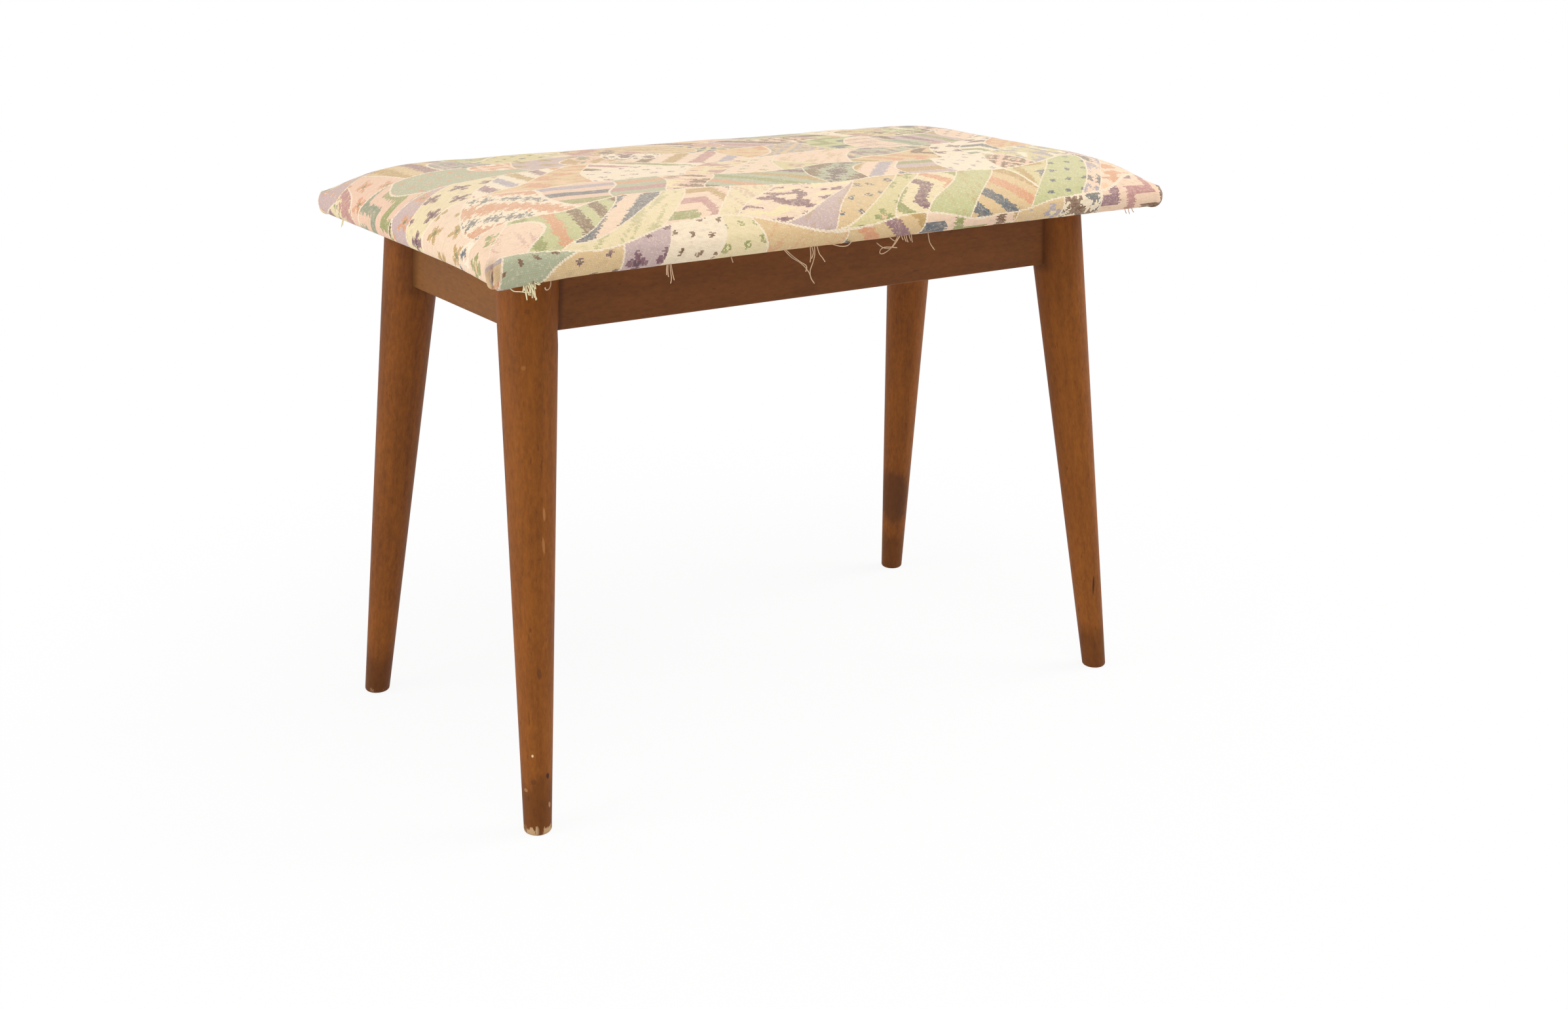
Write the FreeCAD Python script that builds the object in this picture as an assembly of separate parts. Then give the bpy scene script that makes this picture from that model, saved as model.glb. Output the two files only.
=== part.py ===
import FreeCAD, Part
import math
import os

Vector = FreeCAD.Vector

# A low upholstered stool: four splayed turned legs, four rails (aprons) between
# them, and a padded board with a fabric cover on top. Millimetres, +Z up, the
# origin on the floor under the seat's centre, the long side along X. The frame is
# drawn round the origin, and then moved to the left by the seat's offset.

# Seat: it sits to the right of the frame's middle by the offset
SEAT_LENGTH = 568.0
SEAT_DEPTH = 299.0
SEAT_EDGE_NOSE = 3.5
SEAT_CROWN = 25.0
SEAT_CROWN_REACH = 147.0
SEAT_CROWN_FULLNESS = 7.2
SEAT_CORNER_RADIUS = 14.0
BOARD_THICKNESS = 11.0
PAD_SKIRT = 1.5
PAD_OVER_EDGE = 1.0
COVER_THICKNESS = 1.0
HEM_WIDTH = 20.0
SEAT_END_OVERHANG = 46.6
SEAT_SIDE_OVERHANG = 51.6
SEAT_OFFSET = 5.0

# Legs: lean away from the seat's centre, diameters across the axis
FRAME_HEIGHT = 382.0
LEG_LEAN_X_DEGREES = 4.57
LEG_LEAN_Y_DEGREES = 7.58
FOOT_DIAMETER = 18.8
LEG_TOP_DIAMETER = 42.2
FOOT_EDGE_RADIUS = 2.5

# Aprons: the outer faces stand this far outside the leg axes at mid height
APRON_HEIGHT = 48.0
APRON_THICKNESS = 18.0
LONG_APRON_FACE = 8.0
SHORT_APRON_FACE = 8.0
APRON_HOUSING = 5.2
APRON_EDGE_RADIUS = 1.2

# Dowels between aprons and legs
DOWEL_DIAMETER = 8.0
DOWEL_LENGTH = 30.0
DOWEL_IN_LEG = 10.0
DOWEL_CHAMFER = 1.0
GLUE_GAP = 0.1
HOLE_END_GAP = 1.0

# Corner blocks
BLOCK_ARM = 46.0
BLOCK_TIP = 8.0
BLOCK_HEIGHT = 26.0
BLOCK_DROP = 1.0
BLOCK_LEG_GAP = 2.0

# Screws
BLOCK_SCREW_DIAMETER = 4.0
BLOCK_SCREW_HEAD_DIAMETER = 8.0
BLOCK_SCREW_HEAD_HEIGHT = 2.4
BLOCK_SCREW_GRIP = 10.0
BLOCK_SCREW_IN_APRON = 10.0
BLOCK_SCREW_FROM_TIP = 11.0
SEAT_SCREW_DIAMETER = 4.5
SEAT_SCREW_HEAD_DIAMETER = 9.0
SEAT_SCREW_HEAD_HEIGHT = 2.6
SEAT_SCREW_IN_BOARD = 7.0
SCREW_GAP = 0.2
HEAD_GAP = 0.5

# Staples in the hem
STAPLE_WIDTH = 10.0
STAPLE_WIRE = 0.8
STAPLE_IN_BOARD = 7.0
STAPLE_PITCH = 32.0

# Shares of the crown's height at which the pad's sections are taken
CROWN_STEPS = (0.0, 0.15, 0.3, 0.45, 0.6, 0.72, 0.82, 0.9, 0.96, 1.0)
CROWN_TOP_SHARE = 0.985

# Cutting tools run this far past the faces they open; lengths closer than the
# tolerance count as equal; no plan corner is drawn sharper than the least radius.
OVERCUT = 1.0
TOLERANCE = 0.01
LEAST_RADIUS = 1.0
DOWEL_LEVEL_COUNT = 4

CORNERS = {
    "front_left": (-1, -1),
    "front_right": (1, -1),
    "back_left": (-1, 1),
    "back_right": (1, 1),
}

APRON_BOTTOM = FRAME_HEIGHT - APRON_HEIGHT
APRON_MIDDLE = FRAME_HEIGHT - APRON_HEIGHT / 2
LEAN_X = math.tan(math.radians(LEG_LEAN_X_DEGREES))
LEAN_Y = math.tan(math.radians(LEG_LEAN_Y_DEGREES))
LEAN_STRETCH = math.sqrt(1 + LEAN_X ** 2 + LEAN_Y ** 2)
LEG_TAPER = (LEG_TOP_DIAMETER - FOOT_DIAMETER) / 2 / FRAME_HEIGHT

LONG_APRON_OUTER = SEAT_DEPTH / 2 - SEAT_SIDE_OVERHANG
LONG_APRON_INNER = LONG_APRON_OUTER - APRON_THICKNESS
LONG_APRON_CENTRE = LONG_APRON_OUTER - APRON_THICKNESS / 2
SHORT_APRON_OUTER = SEAT_LENGTH / 2 - SEAT_END_OVERHANG
SHORT_APRON_INNER = SHORT_APRON_OUTER - APRON_THICKNESS
SHORT_APRON_CENTRE = SHORT_APRON_OUTER - APRON_THICKNESS / 2


def leg_x(height):
    """Distance of a leg's axis from the frame's middle along X, at a height."""
    return SHORT_APRON_OUTER - SHORT_APRON_FACE + LEAN_X * (APRON_MIDDLE - height)


def leg_y(height):
    """Distance of a leg's axis from the frame's middle along Y, at a height."""
    return LONG_APRON_OUTER - LONG_APRON_FACE + LEAN_Y * (APRON_MIDDLE - height)


def leg_radius(height):
    """A leg's radius across its axis, at a height."""
    return FOOT_DIAMETER / 2 + LEG_TAPER * height


# The rails end this far from the leg axes, along the rail
APRON_SHOULDER = leg_radius(APRON_BOTTOM) - APRON_HOUSING

# Evenly spaced levels share the apron's height, and the dowels of two aprons
# that meet in one leg take turns on them, so that they never cross.
DOWEL_SPACING = APRON_HEIGHT / (DOWEL_LEVEL_COUNT + 1)
DOWEL_LEVELS = [APRON_BOTTOM + DOWEL_SPACING * (level + 1) for level in range(DOWEL_LEVEL_COUNT)]
LONG_DOWEL_LEVELS = DOWEL_LEVELS[1::2]
SHORT_DOWEL_LEVELS = DOWEL_LEVELS[0::2]

HEM_BOTTOM = FRAME_HEIGHT - COVER_THICKNESS
SEAT_EDGE_TOP = FRAME_HEIGHT + BOARD_THICKNESS + PAD_OVER_EDGE + COVER_THICKNESS
BOARD_INSET = SEAT_EDGE_NOSE + COVER_THICKNESS + PAD_SKIRT
BLOCK_TOP = FRAME_HEIGHT - BLOCK_DROP
BLOCK_BOTTOM = BLOCK_TOP - BLOCK_HEIGHT


def mirrored(shape, sign_x, sign_y):
    """A copy of a shape drawn for the +X +Y corner, in the corner of the given signs."""
    copy = shape.copy()
    if sign_x < 0:
        copy = copy.mirror(Vector(0, 0, 0), Vector(1, 0, 0))
    if sign_y < 0:
        copy = copy.mirror(Vector(0, 0, 0), Vector(0, 1, 0))
    return copy


def on_frame(shape):
    """A copy of a shape drawn round the origin, where the frame stands under the seat."""
    copy = shape.copy()
    copy.translate(Vector(-SEAT_OFFSET, 0, 0))
    return copy


def rounded_rectangle(half_x, half_y, radius, height):
    """A closed wire of four lines and four quarter arcs at a height."""
    flat_x = half_x - radius
    flat_y = half_y - radius
    half_way = radius / math.sqrt(2)
    arcs = []
    for sign_x, sign_y in ((1, 1), (-1, 1), (-1, -1), (1, -1)):
        on_side = Vector(sign_x * half_x, sign_y * flat_y, height)
        on_end = Vector(sign_x * flat_x, sign_y * half_y, height)
        between = Vector(sign_x * (flat_x + half_way), sign_y * (flat_y + half_way), height)
        first, last = (on_side, on_end) if sign_x == sign_y else (on_end, on_side)
        arcs.append(Part.Arc(first, between, last).toShape())
    edges = []
    for index, arc in enumerate(arcs):
        following = arcs[(index + 1) % len(arcs)]
        edges.append(arc)
        edges.append(Part.makeLine(arc.Vertexes[-1].Point, following.Vertexes[0].Point))
    return Part.Wire(edges)


def seat_plan(inset, radius, height):
    """The seat's outline drawn in by an inset, as a wire at a height."""
    return rounded_rectangle(SEAT_LENGTH / 2 - inset, SEAT_DEPTH / 2 - inset, radius, height)


def seat_slab(inset, bottom, top):
    """A flat slab of the seat's outline drawn in by an inset."""
    radius = max(SEAT_CORNER_RADIUS - inset, LEAST_RADIUS)
    face = Part.Face(seat_plan(inset, radius, bottom))
    return face.extrude(Vector(0, 0, top - bottom))


def crown_inset(share):
    """How far in from the edge the crown has risen to a share of its height."""
    return SEAT_CROWN_REACH * (1 - (1 - share) ** (1 / SEAT_CROWN_FULLNESS))


def crowned_form(skin):
    """The seat's outer form, or the form a skin's thickness inside it."""
    sections = []
    edge_middle = (HEM_BOTTOM + SEAT_EDGE_TOP) / 2
    edge_radius = SEAT_CORNER_RADIUS - skin
    sections.append(seat_plan(SEAT_EDGE_NOSE + skin, edge_radius, HEM_BOTTOM + skin))
    sections.append(seat_plan(skin, edge_radius, edge_middle))
    for step in CROWN_STEPS:
        share = step * CROWN_TOP_SHARE
        side_inset = crown_inset(share)
        corner_inset = crown_inset(math.sqrt(share))
        corner_radius = (corner_inset - side_inset) / (1 - 1 / math.sqrt(2))
        inset = SEAT_EDGE_NOSE / 2 + side_inset + skin
        height = SEAT_EDGE_TOP + SEAT_CROWN * step - skin
        sections.append(seat_plan(inset, max(corner_radius, edge_radius), height))
    return Part.makeLoft(sections, True, True)


def make_seat_board():
    """Plywood board with pilot holes for the seat screws and slots for the staples."""
    board = seat_slab(BOARD_INSET, FRAME_HEIGHT, FRAME_HEIGHT + BOARD_THICKNESS)
    pilots = on_frame(seat_screw_shanks(SEAT_SCREW_IN_BOARD + HOLE_END_GAP))
    return board.cut(pilots).cut(make_cover_staples())


def make_foam_pad():
    """Padding over the board and its edges, with the seat's crown."""
    board = seat_slab(BOARD_INSET, FRAME_HEIGHT - OVERCUT, FRAME_HEIGHT + BOARD_THICKNESS)
    return crowned_form(COVER_THICKNESS).cut(board)


def make_seat_cover():
    """Fabric skin over the pad, turned under the board as a hem."""
    skin = crowned_form(0.0).cut(crowned_form(COVER_THICKNESS))
    under = seat_slab(BOARD_INSET + HEM_WIDTH, HEM_BOTTOM - OVERCUT, FRAME_HEIGHT)
    return skin.cut(under).cut(make_cover_staples())


def staple():
    """One staple at the origin: its crown along X, below the hem, its legs going up."""
    half = STAPLE_WIDTH / 2
    legs_height = STAPLE_WIRE + COVER_THICKNESS + STAPLE_IN_BOARD
    shape = Part.makeBox(STAPLE_WIDTH, STAPLE_WIRE, STAPLE_WIRE, Vector(-half, -STAPLE_WIRE / 2, 0))
    for start in (-half, half - STAPLE_WIRE):
        leg = Part.makeBox(STAPLE_WIRE, STAPLE_WIRE, legs_height, Vector(start, -STAPLE_WIRE / 2, 0))
        shape = shape.fuse(leg)
    shape = shape.removeSplitter()
    shape.translate(Vector(0, 0, HEM_BOTTOM - STAPLE_WIRE))
    return shape


def staple_places():
    """Places and turns of the staples, evenly along the middle of the hem on all four sides."""
    inset = BOARD_INSET + HEM_WIDTH / 2
    line_x = SEAT_LENGTH / 2 - inset
    line_y = SEAT_DEPTH / 2 - inset
    places = []
    for half_length, offset, turn in ((line_x, line_y, 0), (line_y, line_x, 90)):
        count = max(2, round(2 * half_length / STAPLE_PITCH))
        for index in range(count):
            along = -half_length + 2 * half_length * (index + 0.5) / count
            for side in (-1, 1):
                place = (along, side * offset) if turn == 0 else (side * offset, along)
                places.append((place, turn))
    return places


def make_cover_staples():
    """All the staples of the hem as one group."""
    group = []
    for (x, y), turn in staple_places():
        shape = staple()
        shape.rotate(Vector(0, 0, 0), Vector(0, 0, 1), turn)
        shape.translate(Vector(x, y, 0))
        group.append(shape)
    return Part.makeCompound(group)


def apron_blank(ends, outer, along_x):
    """A rail with sloped ends that follow the legs' lean, at the +X or +Y side of the seat."""
    bottom_end = ends(APRON_BOTTOM) - APRON_SHOULDER
    top_end = ends(FRAME_HEIGHT) - APRON_SHOULDER
    outline = (
        (-bottom_end, APRON_BOTTOM),
        (bottom_end, APRON_BOTTOM),
        (top_end, FRAME_HEIGHT),
        (-top_end, FRAME_HEIGHT),
    )
    inner = outer - APRON_THICKNESS
    points = []
    for along, height in outline:
        points.append(Vector(along, inner, height) if along_x else Vector(inner, along, height))
    face = Part.Face(Part.makePolygon(points + points[:1]))
    across = Vector(0, APRON_THICKNESS, 0) if along_x else Vector(APRON_THICKNESS, 0, 0)
    blank = face.extrude(across)
    lower_edges = []
    for edge in blank.Edges:
        low = all(abs(vertex.Z - APRON_BOTTOM) < TOLERANCE for vertex in edge.Vertexes)
        if low and edge.Length > APRON_THICKNESS + TOLERANCE:
            lower_edges.append(edge)
    return blank.makeFillet(APRON_EDGE_RADIUS, lower_edges)


def long_apron_blank():
    """The back rail before its holes are bored."""
    return apron_blank(leg_x, LONG_APRON_OUTER, True)


def short_apron_blank():
    """The right rail before its holes are bored."""
    return apron_blank(leg_y, SHORT_APRON_OUTER, False)


def long_apron_dowels(gap, end_gap):
    """The dowels at the back rail's right end, or their holes when the gaps aren't zero."""
    group = []
    for height in LONG_DOWEL_LEVELS:
        tip = leg_x(height) - APRON_SHOULDER + DOWEL_IN_LEG
        start = Vector(tip + end_gap, LONG_APRON_CENTRE, height)
        group.append(dowel(start, Vector(-1, 0, 0), gap, end_gap))
    return Part.makeCompound(group)


def short_apron_dowels(gap, end_gap):
    """The dowels at the right rail's back end, or their holes when the gaps aren't zero."""
    group = []
    for height in SHORT_DOWEL_LEVELS:
        tip = leg_y(height) - APRON_SHOULDER + DOWEL_IN_LEG
        start = Vector(SHORT_APRON_CENTRE, tip + end_gap, height)
        group.append(dowel(start, Vector(0, -1, 0), gap, end_gap))
    return Part.makeCompound(group)


def dowel(start, direction, gap, end_gap):
    """A round pin with chamfered ends, or the plain hole it sits in."""
    length = DOWEL_LENGTH + 2 * end_gap
    pin = Part.makeCylinder(DOWEL_DIAMETER / 2 + gap, length, start, direction)
    if gap > 0:
        return pin
    rims = [edge for edge in pin.Edges if len(edge.Vertexes) == 1]
    return pin.makeChamfer(DOWEL_CHAMFER, rims)


def both_ends(group, along_x):
    """A group of pieces at one end of a rail, with its mirror image at the other end."""
    normal = Vector(1, 0, 0) if along_x else Vector(0, 1, 0)
    return Part.makeCompound([group, group.mirror(Vector(0, 0, 0), normal)])


def make_long_apron():
    """The back rail with its dowel holes and the pilot holes of the block screws."""
    holes = both_ends(long_apron_dowels(GLUE_GAP, HOLE_END_GAP), True)
    pilots = both_ends(block_screw_shank(True, BLOCK_SCREW_IN_APRON + HOLE_END_GAP), True)
    return long_apron_blank().cut(holes).cut(pilots)


def make_short_apron():
    """The right rail with its dowel holes and the pilot holes of the block screws."""
    holes = both_ends(short_apron_dowels(GLUE_GAP, HOLE_END_GAP), False)
    pilots = both_ends(block_screw_shank(False, BLOCK_SCREW_IN_APRON + HOLE_END_GAP), False)
    return short_apron_blank().cut(holes).cut(pilots)


def make_leg():
    """The back right leg: a turned taper cut level at both ends, housed for two rails."""
    low = -LEG_TOP_DIAMETER
    high = FRAME_HEIGHT + LEG_TOP_DIAMETER
    turned = Part.makeCone(
        leg_radius(low),
        leg_radius(high),
        (high - low) * LEAN_STRETCH,
        Vector(leg_x(low), leg_y(low), low),
        Vector(-LEAN_X, -LEAN_Y, 1),
    )
    reach = SEAT_LENGTH + SEAT_DEPTH
    level = Part.makeBox(2 * reach, 2 * reach, FRAME_HEIGHT, Vector(-reach, -reach, 0))
    leg = turned.common(level)
    rim = [edge for edge in leg.Edges if abs(edge.BoundBox.ZMax) < TOLERANCE]
    leg = leg.makeFillet(FOOT_EDGE_RADIUS, rim)
    leg = leg.cut(long_apron_blank()).cut(short_apron_blank())
    leg = leg.cut(long_apron_dowels(GLUE_GAP, HOLE_END_GAP))
    return leg.cut(short_apron_dowels(GLUE_GAP, HOLE_END_GAP))


def block_clip():
    """How much of a block's corner is cut away to clear the leg, along each rail."""
    leg_in_x = SHORT_APRON_INNER - leg_x(FRAME_HEIGHT)
    leg_in_y = LONG_APRON_INNER - leg_y(FRAME_HEIGHT)
    leg_reach = LEG_TOP_DIAMETER / 2 * LEAN_STRETCH + BLOCK_LEG_GAP
    return leg_in_x + leg_in_y + math.sqrt(2) * leg_reach


def block_point(along_short, along_long, height):
    """A point given by its distances from the short and long rail's inner faces."""
    return Vector(SHORT_APRON_INNER - along_short, LONG_APRON_INNER - along_long, height)


def seat_screw_offset():
    """Distance of a seat screw from both inner faces: the middle of the block."""
    return (block_clip() + BLOCK_ARM + BLOCK_TIP) / 4


def make_corner_block():
    """The back right glue block with its screw holes."""
    clip = block_clip()
    outline = (
        (clip, 0),
        (BLOCK_ARM, 0),
        (BLOCK_ARM, BLOCK_TIP),
        (BLOCK_TIP, BLOCK_ARM),
        (0, BLOCK_ARM),
        (0, clip),
    )
    points = [block_point(u, v, BLOCK_BOTTOM) for u, v in outline]
    face = Part.Face(Part.makePolygon(points + points[:1]))
    block = face.extrude(Vector(0, 0, BLOCK_HEIGHT))
    for into_long in (True, False):
        block = block.cut(block_screw_hole(into_long))
    offset = seat_screw_offset()
    radius = SEAT_SCREW_DIAMETER / 2 + SCREW_GAP
    return block.cut(Part.makeCylinder(radius, BLOCK_HEIGHT, block_point(offset, offset, BLOCK_BOTTOM)))


def block_screw_line(into_long):
    """Where a block screw meets the rail's inner face, and its direction into the rail."""
    along = BLOCK_ARM - BLOCK_SCREW_FROM_TIP
    height = BLOCK_BOTTOM + BLOCK_HEIGHT / 2
    if into_long:
        return block_point(along, 0, height), Vector(0, 1, 0)
    return block_point(0, along, height), Vector(1, 0, 0)


def block_screw_hole(into_long):
    """The clearance hole of a block screw and the pocket for its head."""
    entry, direction = block_screw_line(into_long)
    shank = Part.makeCylinder(BLOCK_SCREW_DIAMETER / 2 + SCREW_GAP, BLOCK_ARM, entry, direction * -1)
    head_start = entry - direction * BLOCK_SCREW_GRIP
    pocket_radius = BLOCK_SCREW_HEAD_DIAMETER / 2 + HEAD_GAP
    return shank.fuse(Part.makeCylinder(pocket_radius, BLOCK_ARM, head_start, direction * -1))


def screw(seat, direction, diameter, length, head_diameter, head_height):
    """A wood screw: a domed head on its seat, a shank and a pointed tip."""
    point_length = diameter
    shank = Part.makeCylinder(diameter / 2, length - point_length, seat, direction)
    tip = Part.makeCone(diameter / 2, 0, point_length, seat + direction * (length - point_length), direction)
    head = Part.makeCylinder(head_diameter / 2, head_height, seat, direction * -1)
    rims = [edge for edge in head.Edges if len(edge.Vertexes) == 1]
    outer_rim = max(rims, key=lambda edge: (edge.CenterOfMass - seat).Length)
    head = head.makeFillet(head_height / 2, [outer_rim])
    return head.fuse(shank).fuse(tip).removeSplitter()


def block_screw_shank(into_long, depth):
    """The pilot hole of a block screw, from the rail's inner face."""
    entry, direction = block_screw_line(into_long)
    return Part.makeCylinder(BLOCK_SCREW_DIAMETER / 2, depth, entry, direction)


def make_corner_block_screws():
    """The screws of all four blocks as one group."""
    group = []
    length = BLOCK_SCREW_GRIP + BLOCK_SCREW_IN_APRON
    for sign_x, sign_y in CORNERS.values():
        for into_long in (True, False):
            entry, direction = block_screw_line(into_long)
            shape = screw(
                entry - direction * BLOCK_SCREW_GRIP,
                direction,
                BLOCK_SCREW_DIAMETER,
                length,
                BLOCK_SCREW_HEAD_DIAMETER,
                BLOCK_SCREW_HEAD_HEIGHT,
            )
            group.append(mirrored(shape, sign_x, sign_y))
    return Part.makeCompound(group)


def seat_screw_shanks(depth):
    """The pilot holes of the four seat screws, from the board's underside."""
    offset = seat_screw_offset()
    hole = Part.makeCylinder(SEAT_SCREW_DIAMETER / 2, depth, block_point(offset, offset, FRAME_HEIGHT))
    return Part.makeCompound([mirrored(hole, x, y) for x, y in CORNERS.values()])


def make_seat_screws():
    """The screws that hold the seat board, as one group."""
    offset = seat_screw_offset()
    shape = screw(
        block_point(offset, offset, BLOCK_BOTTOM),
        Vector(0, 0, 1),
        SEAT_SCREW_DIAMETER,
        BLOCK_HEIGHT + BLOCK_DROP + SEAT_SCREW_IN_BOARD,
        SEAT_SCREW_HEAD_DIAMETER,
        SEAT_SCREW_HEAD_HEIGHT,
    )
    return Part.makeCompound([mirrored(shape, x, y) for x, y in CORNERS.values()])


def make_frame_parts():
    """Every piece of the frame by its node name, drawn round the origin."""
    leg = make_leg()
    block = make_corner_block()
    long_apron = make_long_apron()
    short_apron = make_short_apron()
    long_dowels = both_ends(long_apron_dowels(0.0, 0.0), True)
    short_dowels = both_ends(short_apron_dowels(0.0, 0.0), False)
    parts = {}
    for corner, (sign_x, sign_y) in CORNERS.items():
        parts["leg_" + corner] = mirrored(leg, sign_x, sign_y)
        parts["corner_block_" + corner] = mirrored(block, sign_x, sign_y)
    for side, sign in (("front", -1), ("back", 1)):
        parts[side + "_apron"] = mirrored(long_apron, 1, sign)
        parts[side + "_apron_dowels"] = mirrored(long_dowels, 1, sign)
    for side, sign in (("left", -1), ("right", 1)):
        parts[side + "_apron"] = mirrored(short_apron, sign, 1)
        parts[side + "_apron_dowels"] = mirrored(short_dowels, sign, 1)
    parts["corner_block_screws"] = make_corner_block_screws()
    parts["seat_screws"] = make_seat_screws()
    return parts


def make_parts():
    """Every piece by its node name, where it stands."""
    parts = {node: on_frame(shape) for node, shape in make_frame_parts().items()}
    parts["seat_board"] = make_seat_board()
    parts["foam_pad"] = make_foam_pad()
    parts["seat_cover"] = make_seat_cover()
    parts["cover_staples"] = make_cover_staples()
    return parts


os.makedirs("parts", exist_ok=True)
for node, shape in make_parts().items():
    shape.exportStep("parts/" + node + ".step")
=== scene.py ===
"""Dresses the stool's CAD frame: cover, padding, wood finishes, fasteners, loose threads and stage."""
import math
import random

import bmesh
import bpy
import numpy as np
from mathutils import Matrix, Vector, noise


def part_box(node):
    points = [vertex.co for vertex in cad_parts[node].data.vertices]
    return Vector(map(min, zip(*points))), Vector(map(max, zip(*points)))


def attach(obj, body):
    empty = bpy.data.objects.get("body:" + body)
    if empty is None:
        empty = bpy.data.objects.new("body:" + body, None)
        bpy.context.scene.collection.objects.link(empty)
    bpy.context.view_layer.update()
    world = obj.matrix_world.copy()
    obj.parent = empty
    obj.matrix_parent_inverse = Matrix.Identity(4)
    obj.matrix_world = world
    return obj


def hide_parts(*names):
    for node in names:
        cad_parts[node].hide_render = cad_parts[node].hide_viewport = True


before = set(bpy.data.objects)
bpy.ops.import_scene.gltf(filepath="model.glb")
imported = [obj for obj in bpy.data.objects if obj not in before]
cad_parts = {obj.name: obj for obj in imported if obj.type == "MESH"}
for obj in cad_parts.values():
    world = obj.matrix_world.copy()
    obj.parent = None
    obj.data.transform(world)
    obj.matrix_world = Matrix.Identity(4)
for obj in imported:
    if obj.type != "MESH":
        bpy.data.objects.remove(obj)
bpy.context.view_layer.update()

bl_info = {
    "name": "Upholstered stool",
    "version": (1, 0, 0),
    "blender": (4, 5, 0),
    "location": "3D View > Sidebar > Stool",
    "description": "Dresses the CAD frame of an upholstered stool and sets up its stage",
    "category": "Object",
}

BODY = "root"
MM = 0.001

# Form of the seat, in metres, as in the CAD
COVER_LOW, COVER_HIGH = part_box("seat_cover")
BOARD_LOW, BOARD_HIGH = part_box("seat_board")
HALF_LENGTH = COVER_HIGH[0]
HALF_DEPTH = COVER_HIGH[1]
UNDERSIDE = COVER_LOW[2]
EDGE_HEIGHT = 14 * MM
EDGE_TOP = UNDERSIDE + EDGE_HEIGHT
CROWN = COVER_HIGH[2] - EDGE_TOP
CROWN_REACH = 147 * MM
CROWN_FULLNESS = 7.2
CORNER_RADIUS = 14 * MM
NOSE_INSET = 1.75 * MM

# Rings of the cover outside its grid, in millimetres: the inset from the outline, and for the
# nose the height above the underside too
CROWN_RING_INSETS = (14.0, 12.0, 10.0, 8.0, 6.2, 4.6, 3.1, 1.75)
NOSE_RINGS = (
    (0.95, 12.5), (0.4, 10.8), (0.08, 9.0), (0.0, 7.2), (0.1, 5.7), (0.45, 4.2), (1.1, 2.7), (2.1, 1.3),
    (3.4, 0.4), (5.0, 0.0),
)
HEM_RING_INSETS = (7.0, 9.0, 11.5, 14.0, 18.0, 22.0, 26.0)
# How much of the lower edge's sag each ring of the nose and of the hem takes
NOSE_SAGS = (0.0, 0.04, 0.12, 0.25, 0.45, 0.75, 1.0, 0.85, 0.7, 0.62)
HEM_SAGS = (0.4, 0.15, 0.0, 0.0, 0.0, 0.0, 0.0)
# Where the nose ends, how far under the seat the pleats run out, and how far below the edge's top
# a ring counts as wholly low, in metres
NOSE_END = NOSE_RINGS[-1][0] * MM
PLEAT_RUN_OUT = 7 * MM
LOW_REACH = 9 * MM
# Wander of the lower edge in millimetres: noise scale, depth in the noise and share
EDGE_WANDERS = ((23, 5.7, 0.5), (60, 1.9, 0.3))
# How far the lower edge's droops reach from the near corner, and how much further along the front
NEAR_DROOP_REACH = 40 * MM
FAR_DROOP_REACH = 110 * MM
FAR_DROOP_STRETCH = 1.7

# Padding, in metres: its gap under the cover and above the underside, and the pocket for the board
PAD_GAP = 0.5 * MM
PAD_LEAST_HEIGHT = 0.8 * MM
POCKET_GAP = 0.2 * MM
POCKET_BEVEL = 0.3 * MM
# How far the padding's nose is lifted, as a share of its inset, and its grid's step beside the cover's
PAD_LIFT = 0.4
PAD_GRID_SHARE = 2.5

# Frame of the legs, in metres, as in the CAD. Its middle lies to the left of the seat's
FRAME_MIDDLE = -5 * MM
FOOT_X = 258.02 * MM
FOOT_Y = 137.54 * MM
LEG_TOP_X = 227.48 * MM
LEG_TOP_Y = 86.71 * MM
FRAME_HEIGHT = 382 * MM
LEG_FOOT_RADIUS = 9.4 * MM
LEG_TOP_RADIUS = 21.1 * MM
RAIL_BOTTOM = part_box("front_apron")[0][2]
RAIL_FACE_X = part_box("right_apron")[1][0] - FRAME_MIDDLE
RAIL_FACE_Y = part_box("back_apron")[1][1]
LEGS = {
    "leg_front_left": (-1, -1),
    "leg_front_right": (1, -1),
    "leg_back_left": (-1, 1),
    "leg_back_right": (1, 1),
}

# Fasteners, in metres, as in the CAD, but for the seat screws: these stand 0.4 mm further out in X and Y
STAPLE_LINE_X = 268 * MM
STAPLE_LINE_Y = 133.5 * MM
STAPLE_PITCH = 32 * MM
BLOCK_FACE_X = 219.4 * MM
BLOCK_FACE_Y = 79.9 * MM
BLOCK_SCREW_ALONG = 35 * MM
BLOCK_SCREW_GRIP = 10 * MM
BLOCK_SCREW_HEIGHT = 368 * MM
SEAT_SCREW_X = 201.74 * MM
SEAT_SCREW_Y = 62.24 * MM
BLOCK_BOTTOM = 355 * MM
BLOCK_SCREW_HEAD_HEIGHT = 2.4 * MM
BLOCK_SCREW_LENGTH = 20 * MM
SEAT_SCREW_HEAD_HEIGHT = 2.6 * MM
SEAT_SCREW_LENGTH = 34 * MM


def srgb(red, green, blue):
    """A colour given as it looks on screen, 0 to 255, turned into the linear values that nodes use."""
    linear = []
    for part in (red, green, blue):
        share = part / 255
        linear.append(share / 12.92 if share <= 0.04045 else ((share + 0.055) / 1.055) ** 2.4)
    return (*linear, 1.0)


def darkened(colour, share):
    """A colour with its red, green and blue times a share."""
    return (*(part * share for part in colour[:3]), 1.0)


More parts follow.
